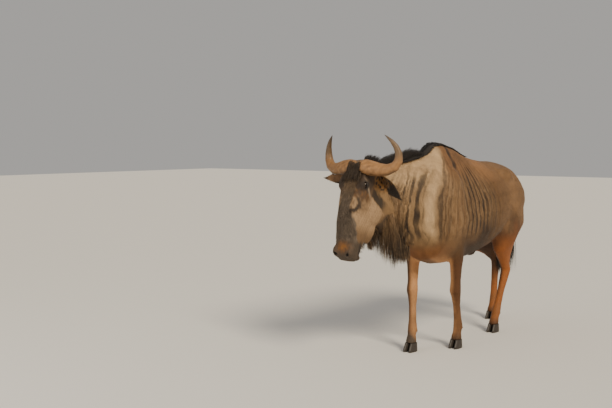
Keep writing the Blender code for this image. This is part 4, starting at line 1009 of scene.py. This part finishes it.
eye_finish, eye_parts, eye_links, eye_shader = material("eye_surface", 0.15)
put(eye_shader, Specular_IOR_Level=0.30)
eye_links.new(coat_colour(eye_parts), eye_shader.inputs["Base Color"])
lid_finish = flecked("lids", 0.6, (220.0, 60.0, 120.0), bump=0.3)
for label, sign in SIDES.items():
    centre = in_head(sign * EYE_PLACE[0], *EYE_PLACE[1:])
    out, length, over = eye_axes(sign)
    bm = bmesh.new()
    bmesh.ops.create_icosphere(bm, subdivisions=5, radius=EYE_RADIUS, matrix=Matrix.Translation(Vector(centre)))
    mesh = from_bmesh(bm, "eyeball")
    spot = (corners(mesh) - centre) / EYE_RADIUS
    iris = np.hypot(spot @ length, spot @ over) + 2 * (spot @ out < 0)
    pupil = np.hypot((spot @ length) / 0.44, (spot @ over) / 0.27)
    tone = np.tile((0.022, 0.014, 0.010), (len(spot), 1))
    tone = blend(tone, np.array((0.024, 0.010, 0.005)), fade(iris, 0.72, 0.80))
    colour_points(mesh, blend(tone, np.array((0.003, 0.002, 0.002)), fade(pupil, 0.85, 1.1) * (iris < 1)))
    new_object("eyeball_" + label, mesh, eye_finish, "eye", "eye_" + label)
    for part, way, opening in (("upper", 1, 0.34), ("lower", -1, 0.30)):
        bm = bmesh.new()
        for vert in bmesh.ops.create_grid(bm, x_segments=24, y_segments=8, size=0.5)["verts"]:
            turn, depth = vert.co.x * math.radians(2 * LID_CORNER), vert.co.y + 0.5
            open_here = abs(turn) < math.radians(LID_CORNER - 0.1)
            edge = opening * math.cos(turn * 90 / LID_CORNER) ** 0.8 if open_here else 0.0
            angle = edge + (1.25 - edge) * depth
            radius = EYE_RADIUS + 0.0016 + 0.0016 * math.sin(math.pi * min(1, depth * 3)) * (1 - depth)
            equator = out * math.cos(turn) + length * math.sin(turn)
            vert.co = Vector(centre + (equator * math.cos(angle) + over * way * math.sin(angle)) * radius)
        mesh = from_bmesh(bm, "lid")
        lid = new_object("lid_%s_%s" % (part, label), mesh, lid_finish, "face_coat")
        tone = TONES["brow"] if part == "upper" else TONES["black"] * 1.5
        colour_points(mesh, np.tile(tone, (len(mesh.vertices), 1)))
        shell = lid.modifiers.new("shell", "SOLIDIFY")
        shell.thickness = 0.0016
        shell.offset = 1.0


# ---- floor, light and camera
def make_stage():
    """A pale floor, a warm main light and a soft one, and a pale sky."""
    bm = bmesh.new()
    bmesh.ops.create_grid(bm, x_segments=1, y_segments=1, size=30.0)
    floor = linked("floor", from_bmesh(bm, "floor"))
    finish, _, _, shader = material("floor_surface", 0.9)
    put(shader, Base_Color=(0.80, 0.78, 0.74, 1))
    floor.data.materials.append(finish)
    world = bpy.data.worlds.new("studio")
    bpy.context.scene.world = world
    world.use_nodes = True
    put(world.node_tree.nodes["Background"], Color=(1.0, 0.965, 0.92, 1), Strength=0.42)
    for name, kind, place, size, power, tint in (
        ("key", "SUN", (4.2, -1.8, 4.4), math.radians(20), 3.1, (1.0, 0.88, 0.68)),
        ("fill", "AREA", (-2.0, -5.5, 2.4), 3.0, 55.0, (1.0, 0.96, 0.90)),
    ):
        lamp = bpy.data.lights.new(name, kind)
        if kind == "SUN":
            lamp.angle = size
        else:
            lamp.size = size
        lamp.energy = power
        lamp.color = tint
        light = linked(name, lamp)
        light.location = place
        light.rotation_mode = "QUATERNION"
        light.rotation_quaternion = (Vector((0.0, 0.1, 0.8)) - Vector(place)).to_track_quat("-Z", "Y")


def make_camera():
    """The photograph's view: from the front left, a little below the horns."""
    turn, far, height = math.radians(28.0), 5.9, 1.42
    # The photograph's size, its focal length, the column that looks at the animal and the horizon, in pixels.
    wide, tall, focal, aim, horizon = 612, 408, 855.0, 433.0, 143.0
    lens = bpy.data.cameras.new("camera")
    camera = linked("camera", lens)
    bpy.context.scene.camera = camera
    camera.location = Vector(BODY) + Vector((math.sin(turn) * far, -math.cos(turn) * far, height))
    yaw = turn + math.atan((aim - wide / 2) / focal)
    pitch = math.atan((tall / 2 - horizon) / focal)
    camera.rotation_euler = (math.pi / 2 - pitch, 0, yaw)
    lens.sensor_width = 36.0
    lens.lens = focal / wide * lens.sensor_width


make_stage()
make_camera()
